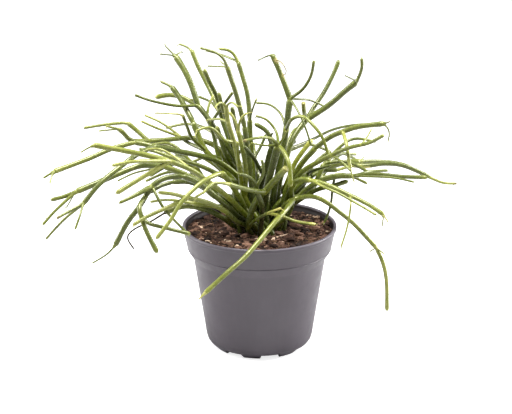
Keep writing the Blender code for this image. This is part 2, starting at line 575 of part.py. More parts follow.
def wall_radius(height):
    """The pot's outer radius at a height between its heel and its rim."""
    heights = (9 * MM, STEP_HEIGHT, POT_HEIGHT - COLLAR_HEIGHT, POT_HEIGHT - 4 * MM)
    radii = (HEEL_RADIUS, STEP_RADIUS, 56 * MM, RIM_RADIUS - 1 * MM)
    return float(np.interp(height, heights, radii))


def make_pot(collection, cutters, finish):
    collar_foot = POT_HEIGHT - COLLAR_HEIGHT
    inner_heights = (9.5 * MM, STEP_HEIGHT + 0.8 * MM, collar_foot + 0.6 * MM, POT_HEIGHT - 3 * MM)
    inside = [(wall_radius(z) - WALL, z) for z in inner_heights]
    floor = FOOT_HEIGHT + FLOOR_THICKNESS
    profile = [
        (0, floor), (33 * MM, floor), (38 * MM, floor + 1.8 * MM), *inside,
        (RIM_RADIUS - 1.8 * MM, POT_HEIGHT - 0.5 * MM), (RIM_RADIUS - 1.2 * MM, POT_HEIGHT),
        (RIM_RADIUS - 0.4 * MM, POT_HEIGHT - 0.1 * MM), (RIM_RADIUS, POT_HEIGHT - 0.7 * MM),
        (RIM_RADIUS, POT_HEIGHT - 2.4 * MM), (RIM_RADIUS - 0.9 * MM, POT_HEIGHT - 3.2 * MM),
        (56.3 * MM, collar_foot + 0.8 * MM), (56 * MM, collar_foot - 0.2 * MM),
        (STEP_RADIUS + 0.4 * MM, STEP_HEIGHT + 0.5 * MM), (STEP_RADIUS, STEP_HEIGHT - 0.8 * MM),
        (HEEL_RADIUS, 9 * MM), (HEEL_RADIUS - 0.8 * MM, 6 * MM), (HEEL_RADIUS - 2.4 * MM, 3.6 * MM),
        (FOOT_RADIUS + 0.3 * MM, 0.6 * MM), (FOOT_RADIUS - 0.2 * MM, 0), (FOOT_RADIUS - FOOT_WIDTH, 0),
        (FOOT_RADIUS - FOOT_WIDTH - 0.4 * MM, FOOT_HEIGHT), (0, FOOT_HEIGHT),
    ]
    pot = turned("pot", profile, collection, finish)
    for number in range(FOOT_GAPS):
        angle = math.radians(FIRST_GAP_DEG + 360 / FOOT_GAPS * number)
        place = (38 * MM * math.cos(angle), 38 * MM * math.sin(angle), 0.5 * FOOT_GAP_HEIGHT - MM)
        bpy.ops.mesh.primitive_cube_add(size=1, location=place)
        into(cutters, bpy.context.object, (12 * MM, FOOT_GAP_WIDTH, FOOT_GAP_HEIGHT + 2 * MM), angle)
        drain_angle = angle + math.pi / FOOT_GAPS
        place = (DRAIN_CIRCLE * math.cos(drain_angle), DRAIN_CIRCLE * math.sin(drain_angle), floor)
        bpy.ops.mesh.primitive_cylinder_add(vertices=12, radius=DRAIN_RADIUS, depth=12 * MM, location=place)
        into(cutters, bpy.context.object)
    middle = (0, 0, floor)
    bpy.ops.mesh.primitive_cylinder_add(vertices=16, radius=DRAIN_RADIUS, depth=12 * MM, location=middle)
    into(cutters, bpy.context.object)
    cut = pot.modifiers.new("Feet and drain holes", "BOOLEAN")
    cut.operation = "DIFFERENCE"
    cut.operand_type = "COLLECTION"
    cut.collection = cutters
    return pot


def into(cutters, made, size=(1, 1, 1), angle=0.0):
    """Sizes and turns a cutter, hides it, and moves it to its collection."""
    made.scale = size
    made.rotation_euler = (0, 0, angle)
    made.hide_render = True
    made.display_type = "WIRE"
    for collection in list(made.users_collection):
        collection.objects.unlink(made)
    cutters.objects.link(made)


def make_soil(roots, collection, cutters, finish):
    """A plug that fills the pot, with a rippled top and a blind hole for each shoot."""
    gap = WALL + SIDE_GAP
    sides = (SOIL_EDGE, POT_HEIGHT - COLLAR_HEIGHT + 0.6 * MM, STEP_HEIGHT + 0.8 * MM, 10 * MM)
    bottom = FOOT_HEIGHT + FLOOR_THICKNESS + SEAT_GAP
    top = [(share * (wall_radius(SOIL_EDGE) - gap), SOIL_EDGE) for share in np.linspace(0, 0.97, 6)]
    flanks = [(wall_radius(z) - gap, z) for z in sides]
    profile = [*top, *flanks, (37.3 * MM, bottom + 2 * MM), (32.6 * MM, bottom), (0, bottom)]
    soil = turned("soil", profile, collection, finish)
    smooth = bpy.data.meshes.new_from_object(soil.evaluated_get(bpy.context.evaluated_depsgraph_get()))
    soil.modifiers.clear()
    soil.data = smooth
    for vertex in smooth.vertices:
        if vertex.co.z > SOIL_EDGE - MM:
            vertex.co.z = soil_height(vertex.co.x, vertex.co.y)
    for x, y in roots.values():
        radius = ROOT_RADIUS * MM + HOLE_CLEARANCE
        depth = ROOT_DEPTH + SEAT_GAP
        place = (x, y, soil_height(x, y) + 5 * MM - 0.5 * depth)
        bpy.ops.mesh.primitive_cylinder_add(vertices=8, radius=radius, depth=depth + 10 * MM, location=place)
        into(cutters, bpy.context.object)
    cut = soil.modifiers.new("Holes for the shoots", "BOOLEAN")
    cut.operation = "DIFFERENCE"
    cut.operand_type = "COLLECTION"
    cut.collection = cutters
    return soil


def rings_along(points, held):
    """The numbers of the few points that keep the line's shape, always with the held ones."""
    kept = set(held)
    spans = list(zip(held, held[1:]))
    while spans:
        first, end = spans.pop()
        if end - first < 2:
            continue
        chord = points[end] - points[first]
        inner = points[first + 1:end] - points[first]
        along = np.clip(inner @ chord / (chord @ chord), 0, 1)
        off = np.linalg.norm(inner - along[:, None] * chord, axis=1)
        if off.max() > RING_TOLERANCE:
            middle = first + 1 + int(off.argmax())
            kept.add(middle)
            spans += [(first, middle), (middle, end)]
    return sorted(kept)


def tube(name, points, radii, collection, finish):
    """A welded tube along the points, with six sides, or four where it is thin."""
    curve = bpy.data.curves.new(name, "CURVE")
    curve.dimensions = "3D"
    curve.bevel_depth = MM
    curve.bevel_resolution = 1 if max(radii) > THIN_RADIUS else 0
    curve.use_fill_caps = True
    spline = curve.splines.new("POLY")
    spline.points.add(len(points) - 1)
    for knot, point, radius in zip(spline.points, points, radii):
        knot.co = (*point, 1)
        knot.radius = radius
    drawn = add_object(name, curve, collection)
    mesh = bpy.data.meshes.new_from_object(drawn.evaluated_get(bpy.context.evaluated_depsgraph_get()))
    bpy.data.objects.remove(drawn)
    shape = bmesh.new()
    shape.from_mesh(mesh)
    bmesh.ops.remove_doubles(shape, verts=shape.verts, dist=0.00001)
    bmesh.ops.recalc_face_normals(shape, faces=shape.faces)
    shape.to_mesh(mesh)
    shape.free()
    mesh.shade_smooth()
    return add_object(name, mesh, collection, finish)


def tapered(points, radii, is_branch, is_cut):
    """Radii in millimetres, with a neck where a branch leaves its parent and a rounded tip."""
    walked = np.concatenate([[0], np.cumsum(np.linalg.norm(np.diff(points, axis=0), axis=1))])
    shaped = np.array(radii) / MM
    if is_branch:
        shaped *= NECK + (1 - NECK) * np.clip(walked / NECK_LENGTH, 0, 1)
    if not is_cut:
        shaped[-1] *= TIP
    return shaped


def make_shoot(name, clump, collection, finish):
    """One rooted stem with its branches, as a single solid."""
    pieces = bpy.data.collections.new("branches of " + name)
    bpy.context.scene.collection.children.link(pieces)
    stem = None
    for number, (numbers, _, is_cut) in enumerate(clump.lines[name]):
        radii = clump.radii[numbers]
        if number:
            radii[:2] = np.minimum(radii[:2], radii[min(2, len(radii) - 1)])
        points = clump.points[numbers]
        last = len(numbers) - 1
        at_soil = [] if number else [1]
        before_tip = [last - 1] if radii[-1] > BLUNT_RADIUS * MM and last > 2 else []
        kept = rings_along(points, [0, *at_soil, *before_tip, last])
        shaped = tapered(points, radii, number > 0, is_cut)
        target = pieces if number else collection
        label = f"{name} branch {number}" if number else f"shoot_{name}"
        made = tube(label, points[kept], shaped[kept], target, finish)
        stem = stem or made
    if pieces.objects:
        union = stem.modifiers.new("Branches", "BOOLEAN")
        union.operation = "UNION"
        union.operand_type = "COLLECTION"
        union.collection = pieces
        union.solver = "MANIFOLD"
        joined = bpy.data.meshes.new_from_object(stem.evaluated_get(bpy.context.evaluated_depsgraph_get()))
        stem.modifiers.clear()
        stem.data = joined
    for piece in list(pieces.objects):
        bpy.data.objects.remove(piece)
    bpy.data.collections.remove(pieces)
    return stem


def main():
    for old in list(bpy.data.objects):
        bpy.data.objects.remove(old)
    plant = bpy.data.collections.new("mistletoe cactus")
    cutters = {name: bpy.data.collections.new(f"{name} cutters") for name in ("pot", "soil")}
    for collection in (plant, *cutters.values()):
        bpy.context.scene.collection.children.link(collection)

    plastic = material("pot plastic", (0.14, 0.13, 0.145), 0.5)
    peat = material("potting soil", (0.06, 0.035, 0.02), 0.95)
    greens = {
        "deep": material("deep green stem", (0.10, 0.15, 0.03), 0.45),
        "fresh": material("fresh green stem", (0.24, 0.30, 0.06), 0.45),
    }

    shoots = {
        name: [segment._replace(places=[seen(*place) for place in segment.places]) for segment in segments]
        for name, segments in SHOOTS.items()
    }
    shoots.update(places_by_rule())
    roots = choose_roots(shoots)
    clump = Clump(shoots, roots)
    clump.bend_clear()

    for name, segments in shoots.items():
        tone = "deep" if segments[0].radii[0] > DEEP_RADIUS else "fresh"
        shoot = make_shoot(name, clump, plant, greens[tone])
        shoot.data.shade_smooth()
    make_pot(plant, cutters["pot"], plastic)
    make_soil(roots, plant, cutters["soil"], peat)


if __name__ == "__main__":
    main()
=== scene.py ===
"""How the mistletoe cactus and its grey nursery pot look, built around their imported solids.

Metres, +Z up. The origin is on the pot's axis, on the surface that the pot stands on. The front faces -Y.
"""

import math
from collections import namedtuple

import bmesh
import bpy
import numpy as np
from mathutils import Matrix, Vector, noise
from mathutils.kdtree import KDTree


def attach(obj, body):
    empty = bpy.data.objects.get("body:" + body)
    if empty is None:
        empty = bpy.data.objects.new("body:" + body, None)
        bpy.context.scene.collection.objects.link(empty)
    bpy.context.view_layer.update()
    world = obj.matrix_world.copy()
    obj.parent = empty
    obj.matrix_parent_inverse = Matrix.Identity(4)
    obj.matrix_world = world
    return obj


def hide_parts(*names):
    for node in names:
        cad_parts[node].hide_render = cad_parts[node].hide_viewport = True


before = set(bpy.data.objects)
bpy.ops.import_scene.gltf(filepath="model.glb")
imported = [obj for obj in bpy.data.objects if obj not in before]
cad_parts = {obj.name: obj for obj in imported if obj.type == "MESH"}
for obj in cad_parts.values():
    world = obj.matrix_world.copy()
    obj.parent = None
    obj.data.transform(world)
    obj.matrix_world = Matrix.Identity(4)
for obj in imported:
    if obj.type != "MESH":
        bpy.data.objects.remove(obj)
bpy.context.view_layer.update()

MM = 0.001

# The pot.
RIM_RADIUS = 60 * MM
POT_HEIGHT = 98 * MM
COLLAR_HEIGHT = 18 * MM
COLLAR_FOOT = POT_HEIGHT - COLLAR_HEIGHT
COLLAR_FOOT_RADIUS = 56 * MM
STEP_RADIUS = 51.4 * MM
STEP_HEIGHT = 72.4 * MM
HEEL_RADIUS = 41.8 * MM
HEEL_HEIGHT = 9 * MM
FOOT_RADIUS = 36 * MM
FOOT_WIDTH = 3 * MM
FOOT_HEIGHT = 3 * MM
WALL = 1.3 * MM
FLOOR_THICKNESS = 1.6 * MM
FLOOR_TOP = FOOT_HEIGHT + FLOOR_THICKNESS
FOOT_GAPS = 8
FIRST_GAP_DEG = -77
FOOT_GAP_WIDTH = 15 * MM
FOOT_GAP_HEIGHT = 3.9 * MM
FOOT_GAP_CIRCLE = 38 * MM
DRAIN_RADIUS = 3.5 * MM
DRAIN_CIRCLE = 26 * MM
POT_TURN_STEPS = 160
HOLE_SIDES = 32
CUT_DEPTH = 12 * MM
CORNER_ROUNDING = 0.35 * MM
SHARP_ANGLE = math.radians(38)

# The soil.
SEAT_GAP = 0.3 * MM
SIDE_GAP = 0.45 * MM
SOIL_EDGE = 92.5 * MM
SOIL_MIDDLE = 94.5 * MM
SOIL_RIPPLE = 0.9 * MM
ROOT_DEPTH = 24 * MM
ROOT_COLLAR = 2 * MM
ROOT_RADIUS = 1.7
ROOT_TAPER = 24 * MM
ROOT_SPACING = 3.25 * MM
CLUMP_RADIUS = 19 * MM
CRUMB_RINGS = 64
CRUMB_SPOKES = 220
CRUMB_SIZES = (4.2 * MM, 1.7 * MM)
CRUMB_HEIGHTS = (1.1, 0.9)
CHIPS = 900
WHITE_CHIPS = 0.04
CHIP_CLEARANCE = 3.4 * MM
FIBRES = 110
FIBRE_SIDES = 5
SOIL_SEED = 11

# How the photograph was taken: the rim's width in its pixels gives the scale on the pot's axis.
RIM_WIDTH_PX = 155.0
PICTURE_CENTRE_PX = (256.0, 207.0)
VIEW_TILT = math.radians(18.5)
VIEW_DISTANCE = 1.25
VIEW_AIM = (-2.7 * MM, 112 * MM)
PIXEL = 2 * RIM_RADIUS / RIM_WIDTH_PX
PICTURE_WIDTH_PX = 512
SENSOR_MM = 36.0

# The studio: how bright the white surroundings light the plant, and how bright they and the floor look.
AMBIENT = 0.3
BACKDROP = 1.05
FLOOR_GLOW = 0.8
FLOOR_RADIUS = 2.5
FLOOR_LEVEL = -0.1 * MM
LIGHT_AIM = (0, 0, 0.1)
# Each light's place, its width and height, and its power in watts.
LIGHTS = {
    "top": ((-0.05, -0.1, 1.1), (0.5, 0.5), 26),
    "right": ((0.95, 0.3, 0.5), (0.3, 0.8), 21),
    "left": ((-0.95, 0.2, 0.55), (0.3, 0.8), 12),
}

# The stems' routes, bent clear of each other as their solids are.
FINE_STEP = 2 * MM
CLEARANCE = 1.25 * MM
BEND_TURNS = 200
PAIR_TURNS = 8
SOFTNESS = 0.6
NEAR = 11 * MM
RIM_CLEARANCE = 2.6 * MM
RIM_POINTS = 130
RIM_RINGS = ((RIM_RADIUS - 1.5 * MM, POT_HEIGHT - 2 * MM), (57 * MM, 89 * MM), (55 * MM, 82 * MM))
SOIL_CLEARANCE = 1.5 * MM

# The stems' fine shape.
RING_STEP = 1.3 * MM
SMOOTHING_ROUNDS = 3
NECK = 0.7
NECK_LENGTH = 5 * MM
TIP_TURNS_DEG = (18, 36, 52, 66, 79)
JOINT_SWELL = 0.09
WAVER = 0.045
WAVER_LENGTHS = (11 * MM, 3.5 * MM)
FURROWS = 5
FURROW_DEPTH = 0.014
FURROW_PITCH = 30 * MM
STEM_SIDES = 12
TWIG_SIDES = 8
TWIG_RADIUS = 1.3 * MM
WHISKER_SIDES = 6
WHISKER_RINGS = 6
WHISKER_RADII = (0.3, 0.11)
AREOLE_STEP = 8.5 * MM
GOLDEN_ANGLE = math.pi * (3 - math.sqrt(5))
DEEP_RADIUS = 2.25
STEM_SEED = 3

Segment = namedtuple("Segment", "start radii places cut")


def rooted(first, last, *places, cut=False):
    """A stem that rises from the soil. Radii are in millimetres."""
    return Segment(None, (first, last), places, cut)


def tip_of(segment, first, last, *places, cut=False):
    """A branch from the end of an earlier segment of the same shoot."""
    return Segment((segment, -1), (first, last), places, cut)


def bend_of(segment, place, first, last, *places, cut=False):
    """A branch from one of an earlier segment's places."""
    return Segment((segment, place), (first, last), places, cut)


# Each place is (across, down, back): pixels of the photograph, and millimetres behind the pot's axis.
SHOOTS = {
    "crown_left": [
        rooted(2.4, 2.1, (246, 196, 6), (232, 158, 14), (211, 123, 24), (198, 105.5, 32)),
        tip_of(0, 2.4, 2.4, (190.5, 83, 40), (183, 68, 46), (175, 55.5, 52)),
        tip_of(0, 1.3, 1.0, (180, 106.5, 24), (152, 101, 12), (135, 95, 4)),
        tip_of(1, 0.8, 0.5, (169, 50, 54), (165, 45.5, 56)),
        tip_of(1, 0.6, 0.5, (160, 54, 44)),
        tip_of(1, 0.7, 0.5, (182, 51.5, 60)),
        bend_of(0, 2, 1.3, 1.1, (221, 108, 8), (232, 93, -4)),
    ],
    "crown_fork": [
        rooted(2.3, 2.1, (242, 188, 12), (232, 150, 24), (222, 118, 36)),
        tip_of(0, 1.9, 1.7, (213.8, 98, 48), (206.4, 83, 56), (198, 66.5, 62), (191.5, 50, 68)),
        tip_of(0, 1.8, 1.6, (216.5, 96, 28), (210, 83, 22), (204, 69.5, 16)),
        tip_of(1, 0.9, 0.7, (185, 46, 72), (179, 44, 74)),
        tip_of(0, 1.2, 1.0, (212, 103, 58), (198.5, 96.5, 66)),
        bend_of(0, 1, 1.7, 1.5, (228, 126, 8), (223, 106, 4), (219.5, 92, 2)),
    ],
    "upright_front": [
        rooted(2.3, 2.0, (250, 200, -2), (249.5, 166, -6), (244.5, 126, -10)),
        tip_of(0, 2.0, 1.8, (236.5, 95, -12), (231.5, 80, -13), (227, 66.5, -14)),
        tip_of(1, 1.1, 0.8, (223, 58, -18), (214.5, 52, -24), (200, 48, -32)),
        tip_of(1, 0.7, 0.6, (217, 66.5, -8), (208, 66, -2)),
        tip_of(1, 0.6, 0.5, (221.5, 62.5, -6)),
    ],
    "upright_back": [
        rooted(2.2, 2.0, (255, 190, 6), (251, 146, 12), (249.8, 119, 16)),
        tip_of(0, 1.9, 1.7, (247.8, 96, 22), (243, 78, 26), (238, 61.5, 30)),
        tip_of(1, 1.2, 1.0, (233, 53, 32), (226.5, 49.5, 32), (219, 49, 32)),
        tip_of(1, 1.0, 0.7, (222, 55, 44), (206, 50.5, 54)),
        tip_of(0, 0.9, 0.7, (253, 108, 4), (256.5, 99, -2)),
    ],
    "split_top": [
        rooted(2.6, 2.5, (274, 196, 8), (281, 160, 16), (286, 130, 22), (290, 98.5, 28)),
        tip_of(0, 2.4, 2.0, (283, 80, 32), (277.5, 66.5, 35), (272, 54, 38)),
        tip_of(0, 1.4, 1.1, (302.5, 89.5, 20), (311, 76, 14), (314, 60.5, 8)),
        tip_of(1, 0.6, 0.5, (265, 57, 34), (258, 60.5, 28)),
        tip_of(0, 1.0, 0.8, (299, 113, 14), (306, 129, 6), (311, 145, 2)),
        tip_of(0, 1.0, 0.8, (300, 99.5, 44), (309, 100, 54), (322.5, 106, 62)),
        bend_of(0, 2, 1.5, 1.2, (292, 119, 4), (303, 116.5, -6), (312.5, 124.5, -14), (322.5, 137.5, -20),
                (329.5, 158, -24)),
        bend_of(0, 2, 1.1, 0.8, (281, 114, 34), (269.5, 104.5, 44), (256, 103, 50)),
    ],
    "fork_right": [
        rooted(2.5, 2.3, (280, 190, 16), (289, 149, 32), (297.5, 131, 42), (307, 119.5, 50)),
        tip_of(0, 2.0, 1.7, (314, 108, 58), (324, 93, 66), (334, 73, 74), (339, 60, 78)),
        tip_of(0, 2.4, 2.3, (329, 105, 50), (344, 92, 48), (357, 81.5, 46)),
        tip_of(2, 1.4, 1.2, (362, 68, 44), (361.5, 58, 42)),
        tip_of(2, 0.7, 0.5, (350, 78, 36), (345, 75.5, 30)),
        bend_of(0, 1, 1.3, 1.0, (311, 140, 52), (333, 129.5, 66), (354, 125, 76), (372, 124, 82)),
        tip_of(0, 1.8, 1.8, (304, 112, 34), (303.5, 103, 28), cut=True),
    ],
    "arc_right": [
        rooted(2.4, 2.2, (284, 196, 2), (294, 176, 0), (302.5, 162.5, -4), (316, 147.5, -10)),
        tip_of(0, 2.1, 2.0, (330, 137, -16), (343, 131.5, -20), (359, 126.5, -24), (385, 123.5, -30)),
        tip_of(1, 0.7, 0.5, (389.5, 132, -28), (388, 141, -24)),
        tip_of(1, 0.6, 0.5, (390, 121.5, -36)),
        bend_of(1, 1, 1.5, 1.3, (346, 145, -36), (350, 169, -46)),
        tip_of(4, 0.7, 0.5, (354, 182, -50)),
    ],
    "low_right": [
        rooted(2.2, 1.9, (287, 200, -8), (299, 175, -18), (316, 163, -26), (332.5, 154.5, -34)),
        tip_of(0, 1.7, 1.3, (349, 148, -42), (361, 145, -46), (370.5, 142.5, -48), (384, 135, -54)),
        bend_of(1, 1, 0.9, 0.6, (366, 139, -38), (371.5, 129, -32)),
        tip_of(0, 1.1, 0.9, (343, 163, -44), (351, 171, -52)),
    ],
    "far_right": [
        rooted(2.5, 2.6, (290, 198, 10), (308, 176, 22), (326, 168.5, 32), (340, 163.5, 38),
               (360, 161.5, 44)),
        tip_of(0, 1.7, 1.3, (386, 161.5, 58), (406, 165, 64), (418, 172, 68)),
        bend_of(0, 3, 2.1, 1.8, (365, 166, 30), (383, 163.5, 34), (401, 165, 38), (418.5, 171.5, 42),
                (430, 177.5, 44)),
        tip_of(2, 1.3, 1.0, (443.5, 183, 46), (457, 183.5, 48)),
        tip_of(0, 0.7, 0.5, (364, 157, 50)),
        bend_of(0, 0, 1.9, 1.6, (304, 182, 16), (320, 172, 20), (338, 170, 24)),
        tip_of(5, 1.3, 1.0, (352, 166, 28), (366, 168, 30)),
    ],
    "flat_right": [
        rooted(2.3, 2.0, (292, 203, -4), (314, 184, -6), (335, 177.5, -10), (354, 176, -14)),
        tip_of(0, 1.8, 1.5, (374, 174, -22), (401, 176.5, -32), (427.5, 177.5, -42)),
        tip_of(0, 1.3, 1.1, (370, 171.5, 2), (388, 170.5, 10)),
        tip_of(0, 1.0, 0.8, (391.5, 177.5, -44), (414, 182, -58)),
        bend_of(0, 2, 1.2, 0.9, (332.5, 190, 0), (331, 204, 8), (327.5, 217, 8), (324, 226, 6)),
    ],
    "droop_right": [
        rooted(2.2, 2.0, (289, 209, -12), (291.5, 190, -24), (299, 180, -32), (311.5, 180.5, -38)),
        tip_of(0, 1.9, 1.6, (329, 185.5, -46), (350.5, 195.5, -56), (368.5, 204.5, -64), (384, 215, -70)),
        tip_of(1, 0.6, 0.5, (388, 222, -73)),
        tip_of(1, 0.6, 0.5, (382, 226.5, -68)),
        tip_of(0, 1.1, 0.9, (325, 187.5, -54), (340, 194, -62), (356, 203, -70), (376.5, 215, -82)),
        bend_of(1, 1, 0.9, 0.7, (350.5, 208, -66), (347, 228, -72), (341, 247, -78)),
    ],
    "over_rim": [
        rooted(2.3, 2.2, (283, 216, -8), (287.5, 205, -14), (293.5, 197, -20)),
        tip_of(0, 1.9, 1.7, (311.5, 196, -14), (325.5, 201.5, -10), (340, 212.5, -8), (354, 224, -8),
               (376.5, 248, -10)),
        tip_of(1, 1.7, 1.5, (383, 263, -12), (386.5, 281, -14), (387, 311, -18)),
        tip_of(1, 0.6, 0.5, (369.5, 251.5, -4)),
        tip_of(1, 0.6, 0.5, (384.5, 254, -20)),
        tip_of(0, 2.0, 1.7, (285, 210.5, -40), (273.5, 223.5, -54), (259.5, 240.5, -67),
               (244.5, 257.5, -78), (227.5, 272.5, -86), (204.5, 293.5, -94)),
        tip_of(5, 0.9, 0.5, (199, 299, -97)),
    ],
    "cut_front": [
        rooted(2.4, 2.5, (246, 226, -20), (251, 209, -26), (264, 192, -36), (275, 180, -44),
               (286, 168.5, -50), cut=True),
        bend_of(0, 0, 1.2, 1.1, (256, 219, -32), (267.5, 213, -40)),
        tip_of(1, 1.0, 0.8, (281, 208, -48)),
        tip_of(1, 1.3, 1.2, (283.5, 216.5, -36), (296, 221.5, -30), (315.5, 224.5, -22)),
        bend_of(0, 2, 1.9, 1.7, (246, 189, -54), (228, 184, -66)),
        tip_of(4, 1.2, 0.9, (216.5, 183, -74), (206.5, 190.5, -78), (195, 197.5, -80)),
        tip_of(4, 1.0, 0.8, (214, 182.5, -80), (207, 188, -88), (203, 194, -92)),
    ],
    "front_left": [
        rooted(2.2, 2.0, (243, 208, -20), (232, 186, -40), (221.5, 172.5, -56)),
        tip_of(0, 1.8, 1.5, (209, 178, -68), (198.5, 185, -76), (182.5, 201, -86), (169.5, 221.5, -94),
               (156, 239, -100)),
    ],
    "left_forks": [
        rooted(2.4, 2.0, (244, 186, -2), (221, 163, -8), (199, 155.5, -14), (177, 151, -22),
               (153, 146.5, -28)),
        tip_of(0, 2.0, 1.9, (144, 144, -26), (134, 142.5, -24)),
        tip_of(0, 2.0, 1.8, (135.5, 155.5, -50), (124, 164, -60), (100.5, 183, -74), (83, 204, -82)),
        tip_of(2, 1.3, 1.0, (67, 212.5, -90), (56.5, 218.5, -96)),
        tip_of(2, 1.2, 0.9, (63.5, 220, -76), (46, 239, -72)),
        tip_of(2, 1.0, 0.8, (80, 215.5, -92), (75, 229.5, -98)),
        tip_of(1, 1.9, 1.9, (112, 148.5, -32), (89, 158.5, -42), (53, 172, -56)),
        tip_of(6, 0.9, 0.7, (43.5, 178, -58)),
        tip_of(6, 0.8, 0.6, (50, 182.5, -64)),
        bend_of(0, 0, 2.0, 1.7, (222, 176, 2), (198, 165, 4), (170, 157, 6)),
        tip_of(9, 1.5, 1.2, (154, 151, 8), (139, 149, 10)),
        tip_of(9, 1.2, 1.0, (156, 160, 14), (143, 166, 18)),
    ],
    "far_left": [
        rooted(2.4, 2.1, (236, 206, -10), (206, 186, -18), (184, 174, -24), (163, 166, -30)),
        tip_of(0, 2.2, 2.2, (141.5, 165.5, -36), (124, 171.5, -42), (103, 180.5, -48), (75.5, 192, -56)),
        tip_of(1, 1.6, 1.4, (63, 197, -58), (50.5, 200, -58)),
        tip_of(1, 1.3, 1.0, (55, 211, -66), (42.5, 225, -72)),
        tip_of(1, 0.6, 0.5, (66.5, 207.5, -50)),
        bend_of(0, 0, 2.1, 1.9, (214, 194, -20), (192, 182.5, -26), (172, 182, -32)),
        tip_of(5, 1.8, 1.5, (160, 186, -36), (149, 193, -40)),
        tip_of(0, 0.9, 0.7, (149, 169.5, -22), (133, 173.5, -18), (117.5, 181, -16)),
    ],
    "left_high": [
        rooted(2.5, 2.3, (236, 186, 4), (206, 151, 14), (199, 136.5, 18), (193, 121.5, 22)),
        tip_of(0, 2.2, 2.0, (185.5, 107, 30), (178, 95, 36), (171, 86, 40)),
        tip_of(1, 1.1, 0.9, (160.5, 81.5, 42)),
        bend_of(0, 1, 1.5, 1.2, (192, 138, 4), (188, 129, -2), (182.5, 114.5, -8)),
        tip_of(3, 0.8, 0.6, (170, 113.5, -16), (155, 113, -26)),
        bend_of(0, 1, 1.6, 1.4, (190, 142, 30), (181, 136.5, 38)),
        tip_of(5, 1.1, 0.9, (162, 123, 44), (144.5, 115, 50)),
        tip_of(5, 1.1, 0.9, (159, 129, 36), (141, 121, 32)),
        bend_of(0, 0, 1.9, 1.7, (222, 158, 20), (214, 134, 28), (207, 117, 34)),
        tip_of(8, 1.3, 1.0, (200, 106, 38), (190, 99, 42)),
        tip_of(8, 1.2, 0.9, (209, 104, 40), (214, 95, 44)),
    ],
    "left_back": [
        rooted(2.2, 1.9, (240, 176, 22), (222, 140, 42), (203, 111.5, 58), (184, 98, 66), (168, 95, 70),
               (155, 97.5, 72)),
        bend_of(0, 1, 1.4, 1.1, (205, 128, 60), (186, 124, 76), (166, 128, 88)),
    ],
    "left_mid": [
        rooted(2.2, 1.9, (240, 186, 10), (222, 152, 22), (201.5, 141, 30), (176.5, 140, 34), (148, 141, 36)),
        tip_of(0, 1.8, 1.8, (138.5, 132, 40), (127, 122.5, 42)),
        tip_of(1, 1.4, 1.1, (106, 124.5, 42), (83.5, 128, 40)),
        tip_of(0, 1.9, 1.8, (131, 140.5, 18), (124, 133.5, 12), (118.5, 129, 8)),
        tip_of(3, 1.0, 0.8, (106, 126, 0)),
        tip_of(3, 0.7, 0.6, (99, 131, 14)),
        bend_of(0, 0, 1.9, 1.6, (222, 170, 20), (204, 158, 26), (183, 152, 30)),
        tip_of(6, 1.3, 1.0, (168, 146, 34), (154, 144, 36)),
    ],
    "left_pale": [
        rooted(2.2, 1.8, (236, 206, -28), (222, 192, -44), (206, 180, -56), (191.5, 170, -64),
               (169.5, 161, -72)),
        tip_of(0, 2.1, 1.9, (147.5, 155.5, -80), (118, 149.5, -88), (93, 145, -92)),
        tip_of(1, 0.7, 0.5, (80.5, 152.5, -94)),
        tip_of(0, 1.6, 1.2, (150, 161, -86), (133, 161.5, -98), (112, 165.5, -106)),
        tip_of(0, 1.8, 1.7, (153, 171, -82), (133, 183, -94), (116, 193.5, -102)),
        bend_of(0, 3, 1.1, 0.9, (176, 158, -54), (160, 149, -50), (146, 150, -46)),
    ],
    "left_low": [
        rooted(2.3, 2.1, (234, 214, -22), (212, 194, -36), (197, 182, -44), (182.5, 176, -50)),
        tip_of(0, 2.1, 2.0, (165, 178, -54), (152, 186, -58), (145.5, 196.5, -60), (138.5, 208, -62),
               (127, 223, -64), (115, 246, -66)),
        tip_of(1, 0.8, 0.6, (106, 255, -68), (92.5, 263, -70)),
        bend_of(1, 1, 2.2, 1.1, (135, 195.5, -70), (119, 203, -76)),
        bend_of(1, 2, 1.8, 1.8, (139.5, 206, -72), (141.5, 216, -78), (147.5, 233, -84), (157.5, 253, -90)),
        bend_of(1, 1, 1.2, 1.0, (158, 198, -66), (166.5, 211, -72), (185.5, 231.5, -80)),
        bend_of(1, 3, 1.6, 1.4, (146, 222, -72), (164, 227.5, -78), (190.5, 234, -84)),
    ],
    "rim_left": [
        rooted(2.3, 2.1, (234, 223, -12), (221, 216, -16), (204.5, 209, -18), (185, 206, -20),
               (166, 212, -24)),
        bend_of(0, 0, 2.0, 1.8, (227, 208, -26), (210, 205, -34), (192, 203, -40)),
        tip_of(1, 1.2, 1.0, (176, 200.5, -36), (163, 200, -30), (150, 202, -26)),
        tip_of(0, 0.8, 0.6, (150, 222, -28), (136, 228, -34), (127, 237, -38), (134, 249, -36)),
    ],
    "rim_left_thin": [
        rooted(2.0, 1.8, (238, 222, -26), (225, 211, -40), (206, 202, -52), (187, 198, -62)),
        tip_of(0, 1.8, 1.3, (169.5, 207, -70), (147.5, 217, -78), (132.5, 226, -84)),
        tip_of(0, 1.6, 1.3, (173, 194, -70), (158, 192.5, -76)),
    ],
    "centre_tall": [
        rooted(2.6, 2.8, (263, 205, -6), (270, 175, -12), (278.5, 145, -18)),
        tip_of(0, 1.3, 1.0, (271, 138.5, -28), (260, 137.5, -38), (243, 141, -48)),
        tip_of(0, 0.8, 0.7, (265, 145.5, -26), (251, 143, -34)),
        tip_of(0, 1.0, 0.7, (284, 137, -22), (286, 131, -24)),
        tip_of(0, 1.7, 1.9, (285, 154, -28), (289.5, 166, -36), (290.5, 187, -42)),
        tip_of(0, 1.2, 0.9, (276, 131, -2), (266, 119, 2), (255.5, 116, 4)),
    ],
    "centre_broad": [
